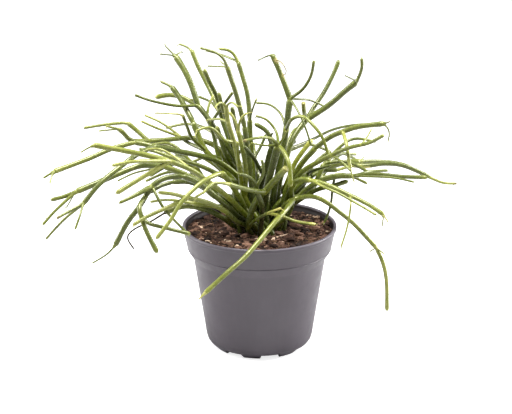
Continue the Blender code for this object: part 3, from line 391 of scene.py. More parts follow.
        rooted(2.8, 3.8, (259, 204, 8), (264, 178, 12), (270, 160, 12), (274, 146, 12)),
        tip_of(0, 1.9, 1.6, (267, 131.5, 16), (254, 123.5, 18)),
        tip_of(0, 1.0, 0.7, (268, 139, 4), (273, 133, 0)),
        bend_of(0, 1, 1.6, 1.4, (255, 160, -12), (243, 146, -22)),
    ],
    "inner_left": [
        rooted(2.4, 2.1, (248, 202, 12), (238, 178, 20), (233, 160, 26)),
        tip_of(0, 1.6, 1.3, (226, 148, 34), (222, 137, 40)),
        tip_of(0, 1.3, 1.0, (241, 150, 22), (246, 138, 20)),
        bend_of(0, 1, 2.0, 1.8, (230, 160, 14), (222, 142, 12), (217, 126, 10)),
    ],
    "inner_middle": [
        rooted(2.5, 2.2, (261, 200, 18), (257, 176, 28), (254, 158, 36)),
        tip_of(0, 1.6, 1.3, (247, 146, 42), (240, 134, 46)),
        tip_of(0, 1.4, 1.1, (261, 146, 42), (266, 134, 46)),
        bend_of(0, 1, 2.0, 1.6, (248, 158, 22), (240, 138, 14), (235, 122, 8), (232, 107, 4)),
    ],
    "inner_right": [
        rooted(2.4, 2.2, (274, 204, 20), (279, 182, 32), (277, 163, 40)),
        tip_of(0, 1.5, 1.2, (270, 150, 48), (271, 137, 54)),
        tip_of(0, 1.4, 1.1, (285, 150, 46), (296, 141, 50)),
        bend_of(0, 0, 2.1, 1.8, (286, 184, 14), (294, 165, 18), (303, 151, 22), (312.5, 139.5, 24)),
    ],
    "inner_low": [
        rooted(2.3, 2.1, (283, 210, 8), (298, 190, 14), (308, 174, 20)),
        tip_of(0, 1.4, 1.2, (318, 160, 28), (330, 151, 32)),
        tip_of(0, 1.3, 1.0, (316, 170, 10), (332, 165, 4)),
        bend_of(0, 0, 2.0, 1.7, (300, 199, 2), (317, 189, -2), (334, 183.5, -6), (348, 179.5, -10)),
    ],
    "inner_front": [
        rooted(2.3, 2.0, (262, 216, -22), (262, 200, -34), (258, 187, -42)),
        tip_of(0, 1.3, 1.1, (251, 178, -50), (240, 174, -56)),
        tip_of(0, 1.3, 1.0, (264, 174, -44), (262, 160, -46)),
    ],
    "centre_yellow": [
        rooted(2.0, 1.8, (245, 198, -12), (239, 165, -22), (234, 142, -26), (228, 122, -28), (226, 106, -28)),
        bend_of(0, 2, 1.4, 0.9, (224, 140, -34), (216, 131, -42), (208, 127, -46), (196, 131, -50)),
        bend_of(0, 1, 1.3, 1.2, (237.5, 152, -34), (237.5, 141.5, -38)),
        tip_of(0, 1.0, 0.7, (220, 102, -34), (215, 108, -40)),
        tip_of(0, 0.9, 0.7, (232, 102, -36), (238, 107, -42)),
        bend_of(0, 3, 1.0, 0.8, (219, 119, -20), (207, 120, -10)),
        bend_of(0, 0, 1.9, 1.7, (246, 172, -16), (243, 150, -18), (238, 130, -18)),
        tip_of(6, 1.2, 0.9, (234, 118, -18), (229, 112, -16)),
        tip_of(6, 1.1, 0.8, (241, 118, -20), (247, 113, -22)),
    ],
}

# The back of the plant, which the photograph doesn't show: one fan of low, arching, forking shoots.
BACK_SHOOTS = 7
BACK_FIRST_DEG, BACK_LAST_DEG = 22, 163
BACK_REACHES = (50 * MM, 66 * MM)
BACK_LIFTS = (138 * MM, 120 * MM)
BACK_BRANCH_DEG = 38
BACK_SEED = 7


def around(radius, angle):
    """The point on a circle round the axis, seen from above."""
    return radius * math.cos(angle), radius * math.sin(angle)


def places_by_rule():
    """The shoots at the back, each an arching stem with three branches, in metres."""
    random = np.random.default_rng(BACK_SEED)
    shoots = {}
    for number in range(BACK_SHOOTS):
        share = number / (BACK_SHOOTS - 1)
        heading = math.radians(BACK_FIRST_DEG + share * (BACK_LAST_DEG - BACK_FIRST_DEG))
        reach = BACK_REACHES[number % 2] + random.uniform(0, 6) * MM
        lift = BACK_LIFTS[number % 2] + random.uniform(-4, 4) * MM
        out = np.array([*around(1, heading), 0.0])
        up = np.array([0.0, 0.0, 1.0])
        stem = [
            0.32 * reach * out + (SOIL_MIDDLE + 20 * MM) * up,
            0.68 * reach * out + (0.45 * SOIL_MIDDLE + 0.55 * lift) * up,
            reach * out + lift * up,
        ]
        segments = [Segment(None, (2.2, 1.9), stem, False)]
        for branch in range(3):
            turn = heading + math.radians((branch - 1) * BACK_BRANCH_DEG + random.uniform(-8, 8))
            away = np.array([*around(1, turn), 0.0])
            length = random.uniform(34, 46) * MM
            rise = (0.55 - 0.45 * abs(branch - 1)) * length
            middle = stem[-1] + 0.5 * length * away + 0.7 * rise * up
            end = stem[-1] + length * away + (rise - 0.25 * length) * up
            segments.append(Segment((0, -1), (1.5, 1.1), [middle, end], False))
        shoots[f"back_{number + 1}"] = segments
    return shoots


def seen(across, down, back):
    """The point behind a pixel of the photograph, at a depth in millimetres behind the pot's axis."""
    y = back * MM
    sight = PIXEL / VIEW_DISTANCE
    slope = (PICTURE_CENTRE_PX[1] - down) * sight
    sine, cosine = math.sin(VIEW_TILT), math.cos(VIEW_TILT)
    z = (slope * (VIEW_DISTANCE + y * cosine) - y * sine) / (cosine + slope * sine)
    depth = VIEW_DISTANCE + y * cosine - z * sine
    x = (across - PICTURE_CENTRE_PX[0]) * sight * depth
    return np.array([x + VIEW_AIM[0], y, z + VIEW_AIM[1]])


def soil_height(x, y):
    """The soil's surface: a low mound with a gentle ripple."""
    share = min(1.0, math.hypot(x, y) / RIM_RADIUS)
    mound = SOIL_MIDDLE + (SOIL_EDGE - SOIL_MIDDLE) * share**2
    ripple = math.sin(x / (7 * MM)) * math.cos(y / (9 * MM)) + math.sin((x + y) / (5 * MM) + 1)
    return mound + 0.5 * SOIL_RIPPLE * ripple * (1 - share**4)


def root_spots(count):
    """Spots on a spiral, as evenly spread as seeds on a sunflower's disc."""
    return [around(ROOT_SPACING * math.sqrt(number + 0.6), number * GOLDEN_ANGLE) for number in range(count)]


def choose_roots(shoots):
    """Gives each shoot the free spot nearest to the way that it leans."""
    free = root_spots(len(shoots))
    roots = {}
    for name, segments in shoots.items():
        lean = np.array(segments[0].places[0][:2])
        wanted = lean * min(1.0, CLUMP_RADIUS / max(np.linalg.norm(lean), MM))
        nearest = min(free, key=lambda spot: math.dist(spot, wanted))
        free.remove(nearest)
        roots[name] = nearest
    return roots


def smooth_line(points):
    """A Catmull-Rom curve through the points, in fine steps, and the number of the step at each point."""
    points = [2 * points[0] - points[1], *points, 2 * points[-1] - points[-2]]
    line, stations = [points[1]], [0]
    for a, b, c, d in zip(points, points[1:], points[2:], points[3:]):
        steps = max(1, round(np.linalg.norm(c - b) / FINE_STEP))
        for step in range(1, steps + 1):
            t = step / steps
            square = (2 * a - 5 * b + 4 * c - d) * t**2
            cube = (3 * b - a - 3 * c + d) * t**3
            line.append(0.5 * (2 * b + (c - a) * t + square + cube))
        stations.append(len(line) - 1)
    return line, stations


class Clump:
    """Every shoot as fine centre lines in one set of arrays, so that they can be bent clear."""

    def __init__(self, shoots, roots):
        self.points, self.radii, self.owner, self.before, self.fixed = [], [], [], [], []
        self.lines = {}
        for number, (name, segments) in enumerate(shoots.items()):
            self.lines[name] = []
            for segment in segments:
                self.lines[name].append(self.add_line(number, segment, self.lines[name], roots[name]))
        self.points = np.array(self.points)
        self.radii = np.array(self.radii)
        self.owner = np.array(self.owner)
        self.before = np.array(self.before)
        self.fixed = np.array(self.fixed)

    def add_line(self, number, segment, earlier, root):
        """Adds a segment's points. Returns their numbers, those at its places, and whether it is cut."""
        if segment.start is None:
            ground = soil_height(*root)
            foot = np.array([*root, ground - ROOT_DEPTH])
            collar = np.array([*root, ground + ROOT_COLLAR])
            head = [self.add_point(number, foot, ROOT_RADIUS, -1, True)]
            head.append(self.add_point(number, collar, ROOT_RADIUS, head[0], True))
        else:
            parent_numbers, parent_stations, _ = earlier[segment.start[0]]
            station = parent_stations[segment.start[1]]
            joint = parent_numbers.index(station)
            head = parent_numbers[max(0, joint - 1):joint + 1] if station == parent_numbers[-1] else [station]
        line, steps = smooth_line([self.points[head[-1]], *segment.places])
        numbers = list(head)
        for step, point in enumerate(line[1:], 1):
            share = step / (len(line) - 1)
            radius = segment.radii[0] + (segment.radii[1] - segment.radii[0]) * share
            if segment.start is None:
                radius = ROOT_RADIUS + (radius - ROOT_RADIUS) * min(1.0, step * FINE_STEP / ROOT_TAPER)
            numbers.append(self.add_point(number, point, radius, numbers[-1], False))
        first = len(head) - 1
        return numbers, [numbers[first + step] for step in steps[1:]], segment.cut

    def add_point(self, number, point, radius, before, fixed):
        self.points.append(point)
        self.radii.append(radius * MM)
        self.owner.append(number)
        self.before.append(before)
        self.fixed.append(fixed)
        return len(self.points) - 1

    def bend_clear(self):
        """Bends the shoots, softly and as little as it takes, clear of each other and of the pot."""
        count = len(self.points)
        ring = rim_points()
        points = np.vstack([self.points, ring])
        radii = np.concatenate([self.radii, np.full(len(ring), RIM_CLEARANCE)])
        owner = np.concatenate([self.owner, np.full(len(ring), -1)])
        rest = points.copy()
        held = np.concatenate([self.fixed, np.full(len(ring), True)])
        child = np.flatnonzero(self.before >= 0)
        parent = self.before[child]
        for turn in range(BEND_TURNS):
            if turn % PAIR_TURNS == 0:
                a, b = near_pairs(points, owner)
            apart = points[b] - points[a]
            gap = np.maximum(np.linalg.norm(apart, axis=1), 1e-6)
            short = np.maximum(radii[a] + radii[b] + CLEARANCE - gap, 0)
            tight = short > 0
            push = (0.5 * short[tight] / gap[tight])[:, None] * apart[tight]
            shift = points - rest
            np.add.at(shift, a[tight], -push)
            np.add.at(shift, b[tight], push)
            softness = SOFTNESS * (1 - turn / BEND_TURNS)
            total, links = shift[:count].copy(), np.ones(count)
            np.add.at(total, child, shift[parent])
            np.add.at(total, parent, shift[child])
            np.add.at(links, child, 1)
            np.add.at(links, parent, 1)
            shift[:count] += softness * (total / links[:, None] - shift[:count])
            shift[held] = 0
            points = rest + shift
            inside = np.hypot(points[:, 0], points[:, 1]) < RIM_RADIUS
            lowest = SOIL_MIDDLE + radii + SOIL_CLEARANCE
            low = inside & ~held & (points[:, 2] < lowest)
            points[low, 2] = lowest[low]
        self.points = points[:count]


def rim_points():
    """Points along the rim and the collar, which the shoots keep clear of."""
    angles = np.linspace(0, 2 * math.pi, RIM_POINTS, endpoint=False)
    rings = [(r * np.cos(angles), r * np.sin(angles), np.full(RIM_POINTS, height)) for r, height in RIM_RINGS]
    return np.vstack([np.column_stack(ring) for ring in rings])


def near_pairs(points, owner):
    """Numbers of the pairs of points of different shoots that lie near each other."""
    found = []
    for number, point in enumerate(points):
        others = np.flatnonzero(np.abs(points[number + 1:] - point).max(axis=1) < NEAR) + number + 1
        others = others[owner[others] != owner[number]]
        found.append(np.column_stack([np.full(len(others), number), others]))
    pairs = np.vstack(found)
    return pairs[:, 0], pairs[:, 1]


def srgb(red, green, blue):
    """A colour given as it looks on a screen, 0 to 255, in linear values, and opaque."""
    shares = [part / 255 for part in (red, green, blue)]
    linear = [share / 12.92 if share < 0.04 else ((share + 0.055) / 1.055) ** 2.4 for share in shares]
    return (*linear, 1)


def add_object(name, mesh, finishes=()):
    made = bpy.data.objects.new(name, mesh)
    bpy.context.scene.collection.objects.link(made)
    for finish in finishes:
        mesh.materials.append(finish)
    return made


def add_body(name, vertices, faces, finishes=(), edges=()):
    """A smooth object made of these vertices and faces, or of edges."""
    mesh = bpy.data.meshes.new(name)
    mesh.from_pydata(vertices, edges, faces)
    mesh.shade_smooth()
    return add_object(name, mesh, finishes)


def applied(piece):
    """Applies the piece's modifiers."""
    mesh = bpy.data.meshes.new_from_object(piece.evaluated_get(bpy.context.evaluated_depsgraph_get()))
    piece.modifiers.clear()
    piece.data = mesh
    return piece


def combined(body, parts, operation, solver):
    """The body after one Boolean with all the parts, which are used up."""
    pieces = bpy.data.collections.new("parts of " + body.name)
    bpy.context.scene.collection.children.link(pieces)
    for part in parts:
        for collection in list(part.users_collection):
            collection.objects.unlink(part)
        pieces.objects.link(part)
    boolean = body.modifiers.new("Boolean", "BOOLEAN")
    boolean.operand_type = "COLLECTION"
    boolean.collection = pieces
    boolean.operation = operation
    boolean.solver = solver
    applied(body)
    for part in parts:
        bpy.data.objects.remove(part)
    bpy.data.collections.remove(pieces)
    return body


# Materials.

def fill(inputs, values):
    """Sets sockets by their names, which have _ for a space."""
    for key, value in values.items():
        inputs[key.replace("_", " ")].default_value = value


def node(tree, kind, **values):
    made = tree.nodes.new(kind)
    fill(made.inputs, values)
    return made


def new_material(name, **values):
    made = bpy.data.materials.new(name)
    made.use_nodes = True
    shader = made.node_tree.nodes["Principled BSDF"]
    fill(shader.inputs, values)
    return made, made.node_tree, shader


def object_place(tree):
    """The place on the object, in metres."""
    made = tree.nodes.get("Place") or tree.nodes.new("ShaderNodeTexCoord")
    made.name = "Place"
    return made.outputs["Object"]


def place_noise(tree, scale, detail=3.0, roughness=0.55, place=None):
    """Noise that is fixed to the object. The scale is in features per metre."""
    made = node(tree, "ShaderNodeTexNoise", Scale=scale, Detail=detail, Roughness=roughness)
    tree.links.new(place or object_place(tree), made.inputs["Vector"])
    return made.outputs["Fac"]


def maths(tree, operation, first, second=0.0, clamp=False):
    """A Math node on one or two sockets or numbers."""
    made = tree.nodes.new("ShaderNodeMath")
    made.operation = operation
    made.use_clamp = clamp
    for socket, value in zip(made.inputs, (first, second)):
        if isinstance(value, (int, float)):
            socket.default_value = value
        else:
            tree.links.new(value, socket)
    return made.outputs[0]


def swing(tree, value, amount):
    """A noise between 0 and 1 as one that swings round 0, by half the amount."""
    return maths(tree, "MULTIPLY", maths(tree, "SUBTRACT", value, 0.5), amount)


def shared(tree, share, first, second):
    """A share of the first value and the rest of the second."""
    parts = maths(tree, "MULTIPLY", first, share), maths(tree, "MULTIPLY", second, 1 - share)
    return maths(tree, "ADD", *parts)


def spread(tree, value, low, high, to_low, to_high):
    """Maps a socket from one range to another, and holds it there."""
    made = node(tree, "ShaderNodeMapRange", From_Min=low, From_Max=high, To_Min=to_low, To_Max=to_high)
    tree.links.new(value, made.inputs["Value"])
    return made.outputs["Result"]


def ramp(tree, value, stops):
    """A colour ramp. Its stops are (place, screen colour)."""
    made = tree.nodes.new("ShaderNodeValToRGB")
    elements = made.color_ramp.elements
    elements[0].position, elements[1].position = stops[0][0], stops[-1][0]
    for place, _ in stops[1:-1]:
        elements.new(place)
    for element, (_, colour) in zip(elements, stops):
        element.color = srgb(*colour)
    tree.links.new(value, made.inputs["Fac"])
    return made.outputs["Color"]


def mixed(tree, share, first, second, blend="MIX"):
    """Mixes two colours, each a socket or a screen colour."""
    made = tree.nodes.new("ShaderNodeMix")
    made.data_type = "RGBA"
    made.blend_type = blend
    factor, a, b = made.inputs[0], made.inputs[6], made.inputs[7]
    for socket, value in ((factor, share), (a, first), (b, second)):
        if isinstance(value, tuple):
            socket.default_value = srgb(*value)
        elif isinstance(value, float):
            socket.default_value = value
        else:
            tree.links.new(value, socket)
    return made.outputs[2]


def bumps(tree, shader, *layers):
    """Stacks bump layers, each (height socket, distance in metres, strength)."""
    below = None
    for height, distance, strength in layers:
        made = node(tree, "ShaderNodeBump", Strength=strength, Distance=distance)
        tree.links.new(height, made.inputs["Height"])
        if below:
            tree.links.new(below, made.inputs["Normal"])
        below = made.outputs["Normal"]
    tree.links.new(below, shader.inputs["Normal"])


def attribute(tree, name):
    made = tree.nodes.new("ShaderNodeAttribute")
    made.attribute_name = name
    return made.outputs["Fac"]


def off_axis(tree):
    """How far a point is from the pot's upright axis, and its height."""
    apart = tree.nodes.new("ShaderNodeSeparateXYZ")
    tree.links.new(object_place(tree), apart.inputs[0])
    sides = [maths(tree, "POWER", apart.outputs[axis], 2.0) for axis in (0, 1)]
    return maths(tree, "SQRT", maths(tree, "ADD", *sides)), apart.outputs[2]


def stem_material(name):
    """Fleshy skin: deep green, pale green or yellow by ripeness, brown where dry, waxy on the outside.
    Painted shade deepens the clump's middle and its stems near the soil, and a faint painted sheen whitens
    its outer and upper stems.
    """
    made, tree, shader = new_material(
        name, Subsurface_Weight=0.08, Subsurface_Scale=0.001, Subsurface_Radius=(0.8, 1.0, 0.25),
        Specular_IOR_Level=0.5, Specular_Tint=(1.0, 0.98, 0.6, 1.0), Coat_Weight=0.2, Coat_Roughness=0.26,
        Sheen_Weight=0.04, Sheen_Roughness=0.4,
    )
    broad, fine = swing(tree, place_noise(tree, 55), 0.5), swing(tree, place_noise(tree, 420), 0.28)
    ripe_and_lit = maths(tree, "ADD", attribute(tree, "ripeness_and_light"), maths(tree, "ADD", broad, fine), clamp=True)
    skin = ramp(tree, ripe_and_lit, [
        (0.0, (31, 39, 2)), (0.22, (54, 65, 5)), (0.42, (79, 89, 14)), (0.62, (110, 117, 35)),
        (0.82, (151, 153, 77)), (1.0, (198, 191, 117)),
    ])
    # Painted light by place in the clump: stems in its shaded middle get painted shade, a deeper and yellower
    # green, and stems far out or high up get a faint painted whitish sheen.
    out, height = off_axis(tree)
    aside = spread(tree, out, 25 * MM, 75 * MM, 0, 1)
    outer_sheen = maths(tree, "MAXIMUM", aside, spread(tree, height, 145 * MM, 185 * MM, 0, 1))
    middle_shade = maths(tree, "SUBTRACT", 0.6, maths(tree, "MULTIPLY", outer_sheen, 0.6))
    skin = mixed(tree, middle_shade, skin, (255, 255, 120), "MULTIPLY")
    skin = mixed(tree, maths(tree, "MULTIPLY", outer_sheen, 0.04), skin, (202, 200, 192))
    flecks = spread(tree, place_noise(tree, 1500, 1.0), 0.66, 0.74, 0.0, 0.5)
    skin = mixed(tree, flecks, skin, (186, 190, 128))
    scars = spread(tree, place_noise(tree, 230, 4.0), 0.69, 0.75, 0.0, 0.55)
    skin = mixed(tree, scars, skin, (120, 104, 62))
    dry = maths(tree, "MULTIPLY", attribute(tree, "dryness"), 1.0, clamp=True)
    barks = [(0.3, (74, 62, 36)), (0.55, (124, 112, 70)), (0.75, (176, 164, 118))]
    bark = ramp(tree, place_noise(tree, 500), barks)
    rooty = spread(tree, attribute(tree, "dryness"), 1.0, 2.0, 0.0, 1.0)
    skin = mixed(tree, dry, skin, mixed(tree, rooty, bark, (40, 31, 22)))
    tree.links.new(skin, shader.inputs["Base Color"])
    gloss = spread(tree, place_noise(tree, 300), 0.3, 0.7, 0.22, 0.38)
    tree.links.new(maths(tree, "ADD", gloss, maths(tree, "MULTIPLY", dry, 0.35)), shader.inputs["Roughness"])
    bumps(tree, shader, (place_noise(tree, 260), 0.0006, 0.35), (place_noise(tree, 1400, 4.0), 0.00015, 0.3))
    return made


def grainy_material(name, roughness, scale, stops, grain):
    """A dull material of mottled colour with a grain, (features per metre, distance, strength)."""
    made, tree, shader = new_material(name, Roughness=roughness)
    tree.links.new(ramp(tree, place_noise(tree, scale), stops), shader.inputs["Base Color"])
    bumps(tree, shader, (place_noise(tree, grain[0]), *grain[1:]))
    return made


def areole_material():
    felts = [(0.3, (112, 92, 52)), (0.6, (176, 160, 104)), (0.8, (214, 204, 158))]
    return grainy_material("areoles", 0.8, 900, felts, (3000, 0.0001, 0.5))


def fibre_material():
    strands = [(0.3, (62, 42, 28)), (0.55, (118, 90, 62)), (0.75, (172, 142, 102))]
    return grainy_material("coir_fibres", 0.9, 150, strands, (2500, 0.0001, 0.4))


def inner_wall_shade(tree):
    """1 on the pot's inner wall between the soil and the lip, which lies in shade, and 0 elsewhere."""
    across, height = off_axis(tree)
    slope = (RIM_RADIUS - MM - COLLAR_FOOT_RADIUS) / (COLLAR_HEIGHT - 4 * MM)
    leaning = maths(tree, "MULTIPLY", maths(tree, "SUBTRACT", height, COLLAR_FOOT), slope)
    depth = maths(tree, "SUBTRACT", maths(tree, "SUBTRACT", across, leaning), COLLAR_FOOT_RADIUS)
    under_lip = spread(tree, height, POT_HEIGHT - 1.2 * MM, POT_HEIGHT - 0.8 * MM, 1, 0)
    over_soil = spread(tree, height, SOIL_EDGE - 8 * MM, SOIL_EDGE - 5 * MM, 0, 1)
    inner = maths(tree, "MULTIPLY", spread(tree, depth, -0.9 * MM, -0.5 * MM, 1, 0), under_lip)
    return maths(tree, "MULTIPLY", inner, over_soil)


def plastic_material():
    """Grey moulded plastic with a fine satin grain, a little dust, the faint streaks of its mould, and
    painted shade on its inner wall above the soil.
    """
    made, tree, shader = new_material("grey_moulded_plastic", Specular_IOR_Level=0.45)
    stretch = node(tree, "ShaderNodeMapping", Scale=(1.0, 1.0, 0.06))
    tree.links.new(object_place(tree), stretch.inputs["Vector"])
    streaks = place_noise(tree, 260, roughness=0.5, place=stretch.outputs["Vector"])
    tone = shared(tree, 0.25, streaks, place_noise(tree, 30, 4.0))
    colour = ramp(tree, tone, [(0.3, (83, 77, 84)), (0.5, (86, 80, 87)), (0.7, (90, 84, 91))])
    dust = spread(tree, place_noise(tree, 2600, 1.0), 0.72, 0.80, 0.0, 0.18)
    colour = mixed(tree, dust, colour, (150, 142, 136))
    # Painted shade: the inner wall between the soil and the lip is darkened.
    colour = mixed(tree, maths(tree, "MULTIPLY", inner_wall_shade(tree), 0.9), colour, (52, 47, 46))
    tree.links.new(colour, shader.inputs["Base Color"])
    gloss = spread(tree, place_noise(tree, 140, 5.0), 0.3, 0.7, 0.36, 0.5)
    tree.links.new(gloss, shader.inputs["Roughness"])
    bumps(tree, shader, (streaks, 0.0001, 0.08), (place_noise(tree, 3200, 2.0), 0.00005, 0.3))
    return made


def soil_material():
    made, tree, shader = new_material("peaty_soil", Roughness=0.95, Specular_IOR_Level=0.2)
    coarse, fine = place_noise(tree, 260, 5.0, 0.65), place_noise(tree, 1300, 4.0, 0.7)
    colour = ramp(tree, shared(tree, 0.6, coarse, fine), [
        (0.34, (11, 7, 5)), (0.47, (37, 25, 18)), (0.55, (72, 51, 41)), (0.65, (118, 87, 72)),
        (0.78, (176, 144, 122)),
    ])
    tree.links.new(colour, shader.inputs["Base Color"])
    bumps(tree, shader, (coarse, 0.0012, 0.6), (fine, 0.0005, 0.8))
    return made


def chip_material():
    """Bark chips, each with its own tone."""
    made, tree, shader = new_material("bark_chips", Roughness=0.85, Specular_IOR_Level=0.25)
    grain = place_noise(tree, 900, 5.0, 0.65)
    colour = ramp(tree, maths(tree, "ADD", attribute(tree, "tone"), swing(tree, grain, 0.6)), [
        (0.0, (22, 13, 9)), (0.3, (62, 40, 30)), (0.55, (100, 72, 58)), (0.8, (142, 108, 88)),
        (1.0, (204, 176, 150)),
    ])
    tree.links.new(colour, shader.inputs["Base Color"])
    bumps(tree, shader, (grain, 0.0005, 0.7))
    return made


# Stems.

def walked_along(line):
    return np.concatenate([[0], np.cumsum(np.linalg.norm(np.diff(line, axis=0), axis=1))])


def evened(line, held):
    """The line without its small kinks. Its first points, in the soil, and its last stay."""
    line = line.copy()
    for _ in range(SMOOTHING_ROUNDS):
        middle = 0.25 * line[:-2] + 0.5 * line[1:-1] + 0.25 * line[2:]
        line[held:-1] = middle[held - 1:]
    return line


def sample(line, values, stations):
    """The line's points and its values at the stations, which are lengths along it."""
    walked = walked_along(line)
    points = np.column_stack([np.interp(stations, walked, line[:, axis]) for axis in range(3)])
    return points, np.interp(stations, walked, values)


def rings_around(points, turn=0.0):
    """Two unit vectors across the line at each point, carried along it without twisting."""
    along = np.gradient(points, axis=0)
    along /= np.linalg.norm(along, axis=1)[:, None] + 1e-12
    guess = np.array([1.0, 0, 0]) if abs(along[0][0]) < 0.8 else np.array([0, 1.0, 0])
    sides = []
    side = guess * math.cos(turn) + np.cross(along[0], guess) * math.sin(turn)
    for direction in along:
        side = side - direction * (side @ direction)
        side = side / np.linalg.norm(side)
        sides.append(side)
    sides = np.array(sides)
    return sides, np.cross(along, sides)


def furrows(stations, sides, phase):
    """Shallow lengthwise furrows, as the share of the radius at each ring and side."""
    angles = np.linspace(0, 2 * math.pi, sides, endpoint=False)
    return 1 + FURROW_DEPTH * np.sin(FURROWS * angles + phase + stations[:, None] / FURROW_PITCH)


def skinned(points, radii, sides, turn=0.0, shares=1):
    """Vertices and faces of a closed tube through rings at the points."""
    across, upward = rings_around(points, turn)
    angles = np.linspace(0, 2 * math.pi, sides, endpoint=False)
    cosines, sines = np.cos(angles)[None, :, None], np.sin(angles)[None, :, None]
    circle = across[:, None] * cosines + upward[:, None] * sines
    rings = points[:, None] + circle * (radii[:, None] * shares)[:, :, None]
    vertices = [*rings.reshape(-1, 3), points[0], points[-1]]
    count = len(points)
    faces = []
    for ring in range(count - 1):
        for side in range(sides):
            beside = (side + 1) % sides
            a, b = ring * sides + side, ring * sides + beside
            faces.append((a, b, b + sides, a + sides))
    first, last = count * sides, count * sides + 1
    for side in range(sides):
        beside = (side + 1) % sides
        faces.append((first, beside, side))
        faces.append((last, (count - 1) * sides + side, (count - 1) * sides + beside))
    return vertices, faces


def stem_stations(length, tip_length, is_cut):
    """Lengths along a stem at which it gets a ring, close together at its rounded tip."""
    body = length - (0 if is_cut else tip_length)
    stations = np.linspace(0, body, max(3, round(body / RING_STEP)))
    if is_cut:
        return stations
    tip = [body + tip_length * math.sin(math.radians(turn)) for turn in TIP_TURNS_DEG]
    return np.concatenate([stations, tip])


def stem_radii(stations, radii, length, tip_length, is_branch, is_cut, phase):
    """The radius at each station, with a neck at a joint, a swelling before the tip and a slow waver."""
    shaped = radii.copy()
    long_waver, short_waver = WAVER_LENGTHS
    for number, station in enumerate(stations):
        shaped[number] *= 1 + WAVER * noise.noise(Vector((station / long_waver, phase, 0)))
        shaped[number] *= 1 + 0.4 * WAVER * noise.noise(Vector((station / short_waver, phase, 7)))
        if is_branch:
            grown = min(1.0, station / NECK_LENGTH)
            shaped[number] *= NECK + (1 - NECK) * grown * grown * (3 - 2 * grown)
        if is_cut:
            continue
        before = (length - station - 1.5 * tip_length) / (1.8 * tip_length)
        shaped[number] *= 1 + JOINT_SWELL * math.exp(-before * before)
        beyond = (station - (length - tip_length)) / tip_length
        if beyond > 0:
            shaped[number] *= math.sqrt(max(0.0, 1 - beyond * beyond))
    return shaped


# How ripe a stem's skin is by its radius in millimetres: 0 is deep green, and 1 is pale yellow.
RIPE_BY_RADIUS = ((0.5, 1.0, 1.5, 2.0, 2.6), (0.95, 0.82, 0.62, 0.44, 0.3))
# The part of the clump, from the axis and from the soil up, that gets painted shade.
SHADE_RADIUS = 45 * MM
SHADE_HEIGHT = 48 * MM
# How far a stem is paler at its tip and at its joint, and dry at a dried tip and at a cut.
PALE_TIP = 16 * MM
PALE_JOINT = 3.5 * MM
DRY_TIP = 3.5 * MM
DRY_CUT = 1.6 * MM
# How much riper a shoot or one of its branches is than its radius says: below 0 is greener. Some branch
# entries also carry painted light.
RIPER = {
    "centre_yellow": 0.12, "left_pale": 0.2, "rim_left_thin": 0.12, "rim_left": 0.1, "over_rim": 0.16,
    "cut_front": 0.08, "front_left": 0.12, "droop_right": 0.12, "left_back": 0.14, "left_mid": 0.06,
    "far_right": 0.12, "arc_right": 0.06, "low_right": 0.06, "left_high": 0.04, "far_left": 0.06,
    "split_top": -0.12, "fork_right": -0.02, "centre_tall": -0.04, "centre_broad": -0.2, "crown_fork": -0.02,
    "upright_front": -0.02, "upright_back": 0.0, "crown_left": -0.02, "left_forks": 0.0,
    "inner_left": -0.2, "inner_middle": -0.22, "inner_right": -0.2, "inner_low": -0.12, "inner_front": -0.1,
}
# Painted light: split_top's branch 1 is paler for the light that falls on its right side.
RIPER_AND_LIT_BRANCHES = {
    ("split_top", 1): 0.16, ("split_top", 2): 0.2, ("split_top", 4): 0.12, ("split_top", 5): 0.12,
    ("split_top", 6): 0.34, ("split_top", 7): 0.26, ("centre_tall", 1): 0.3, ("centre_tall", 2): 0.2,
    ("centre_tall", 3): 0.3, ("centre_tall", 4): 0.3, ("centre_tall", 5): 0.26, ("centre_broad", 1): 0.2,
    ("inner_right", 3): 0.42, ("arc_right", 4): 0.24, ("flat_right", 4): -0.12, ("far_left", 5): -0.3,
    ("far_left", 6): -0.3, ("fork_right", 6): 0.2, ("inner_left", 3): 0.12, ("inner_middle", 3): 0.16,
}
# Branches that have dried: 2 is a dark root in the air, and 0 is one that is dry at its end only.
DRIED = {
    ("rim_left", 3): 2.0, ("far_right", 3): 0.0, ("arc_right", 3): 0.0, ("centre_tall", 1): 0.0,
    ("left_forks", 3): 0.0,
}
# Dried curly tendrils by the branch that carries them: their places in the photograph, and radii.
TENDRILS = {
    ("split_top", 1): [
        (((275.5, 60, 37), (279, 60.5, 31), (283, 64, 28), (286.5, 70, 28), (285.5, 75, 31), (282.5, 74, 34)),
         (0.5, 0.32)),
    ],
}


def drawn(places, steps=24):
    """A smooth line through the places."""
    spots = np.array(places)
    marks, shares = np.linspace(0, 1, len(spots)), np.linspace(0, 1, steps)
    return evened(np.column_stack([np.interp(shares, marks, spots[:, axis]) for axis in range(3)]), 1)


def ripeness_and_light_along(name, number, stations, points, radius, length, random):
    """Old, thick stems are deep green, and thin ones and tips are pale. Stems in the clump's middle get
    painted shade, darkest near the soil.
    """
    thick = np.interp(radius / MM, *RIPE_BY_RADIUS)
    # Painted shade: stems near the axis are darker the nearer they are to the soil.
    rise = np.clip((points[:, 2] - SOIL_MIDDLE) / SHADE_HEIGHT, 0, 1)
    near = np.hypot(points[:, 0], points[:, 1]) < SHADE_RADIUS
    shade = np.where(near, 0.3 * (1 - rise), 0)
    tip = np.clip((stations - (length - PALE_TIP)) / PALE_TIP, 0, 1)
    joint = 0.16 * np.exp(-((stations / PALE_JOINT) ** 2)) if number else 0
    own = RIPER.get(name, 0.0) + RIPER_AND_LIT_BRANCHES.get((name, number), 0.0)
    return thick + own + random.uniform(-0.07, 0.07) - shade + 0.14 * tip**3 + joint


def dryness_along(name, number, stations, length, is_cut):
    dried = DRIED.get((name, number))
    if dried:
        return np.full(len(stations), dried)
    if dried is None and not is_cut:
        return np.zeros(len(stations))
    reach = DRY_CUT if dried is None else DRY_TIP
    return np.clip((stations - (length - reach)) / reach * 1.6, 0, 0.5 if is_cut else 1)


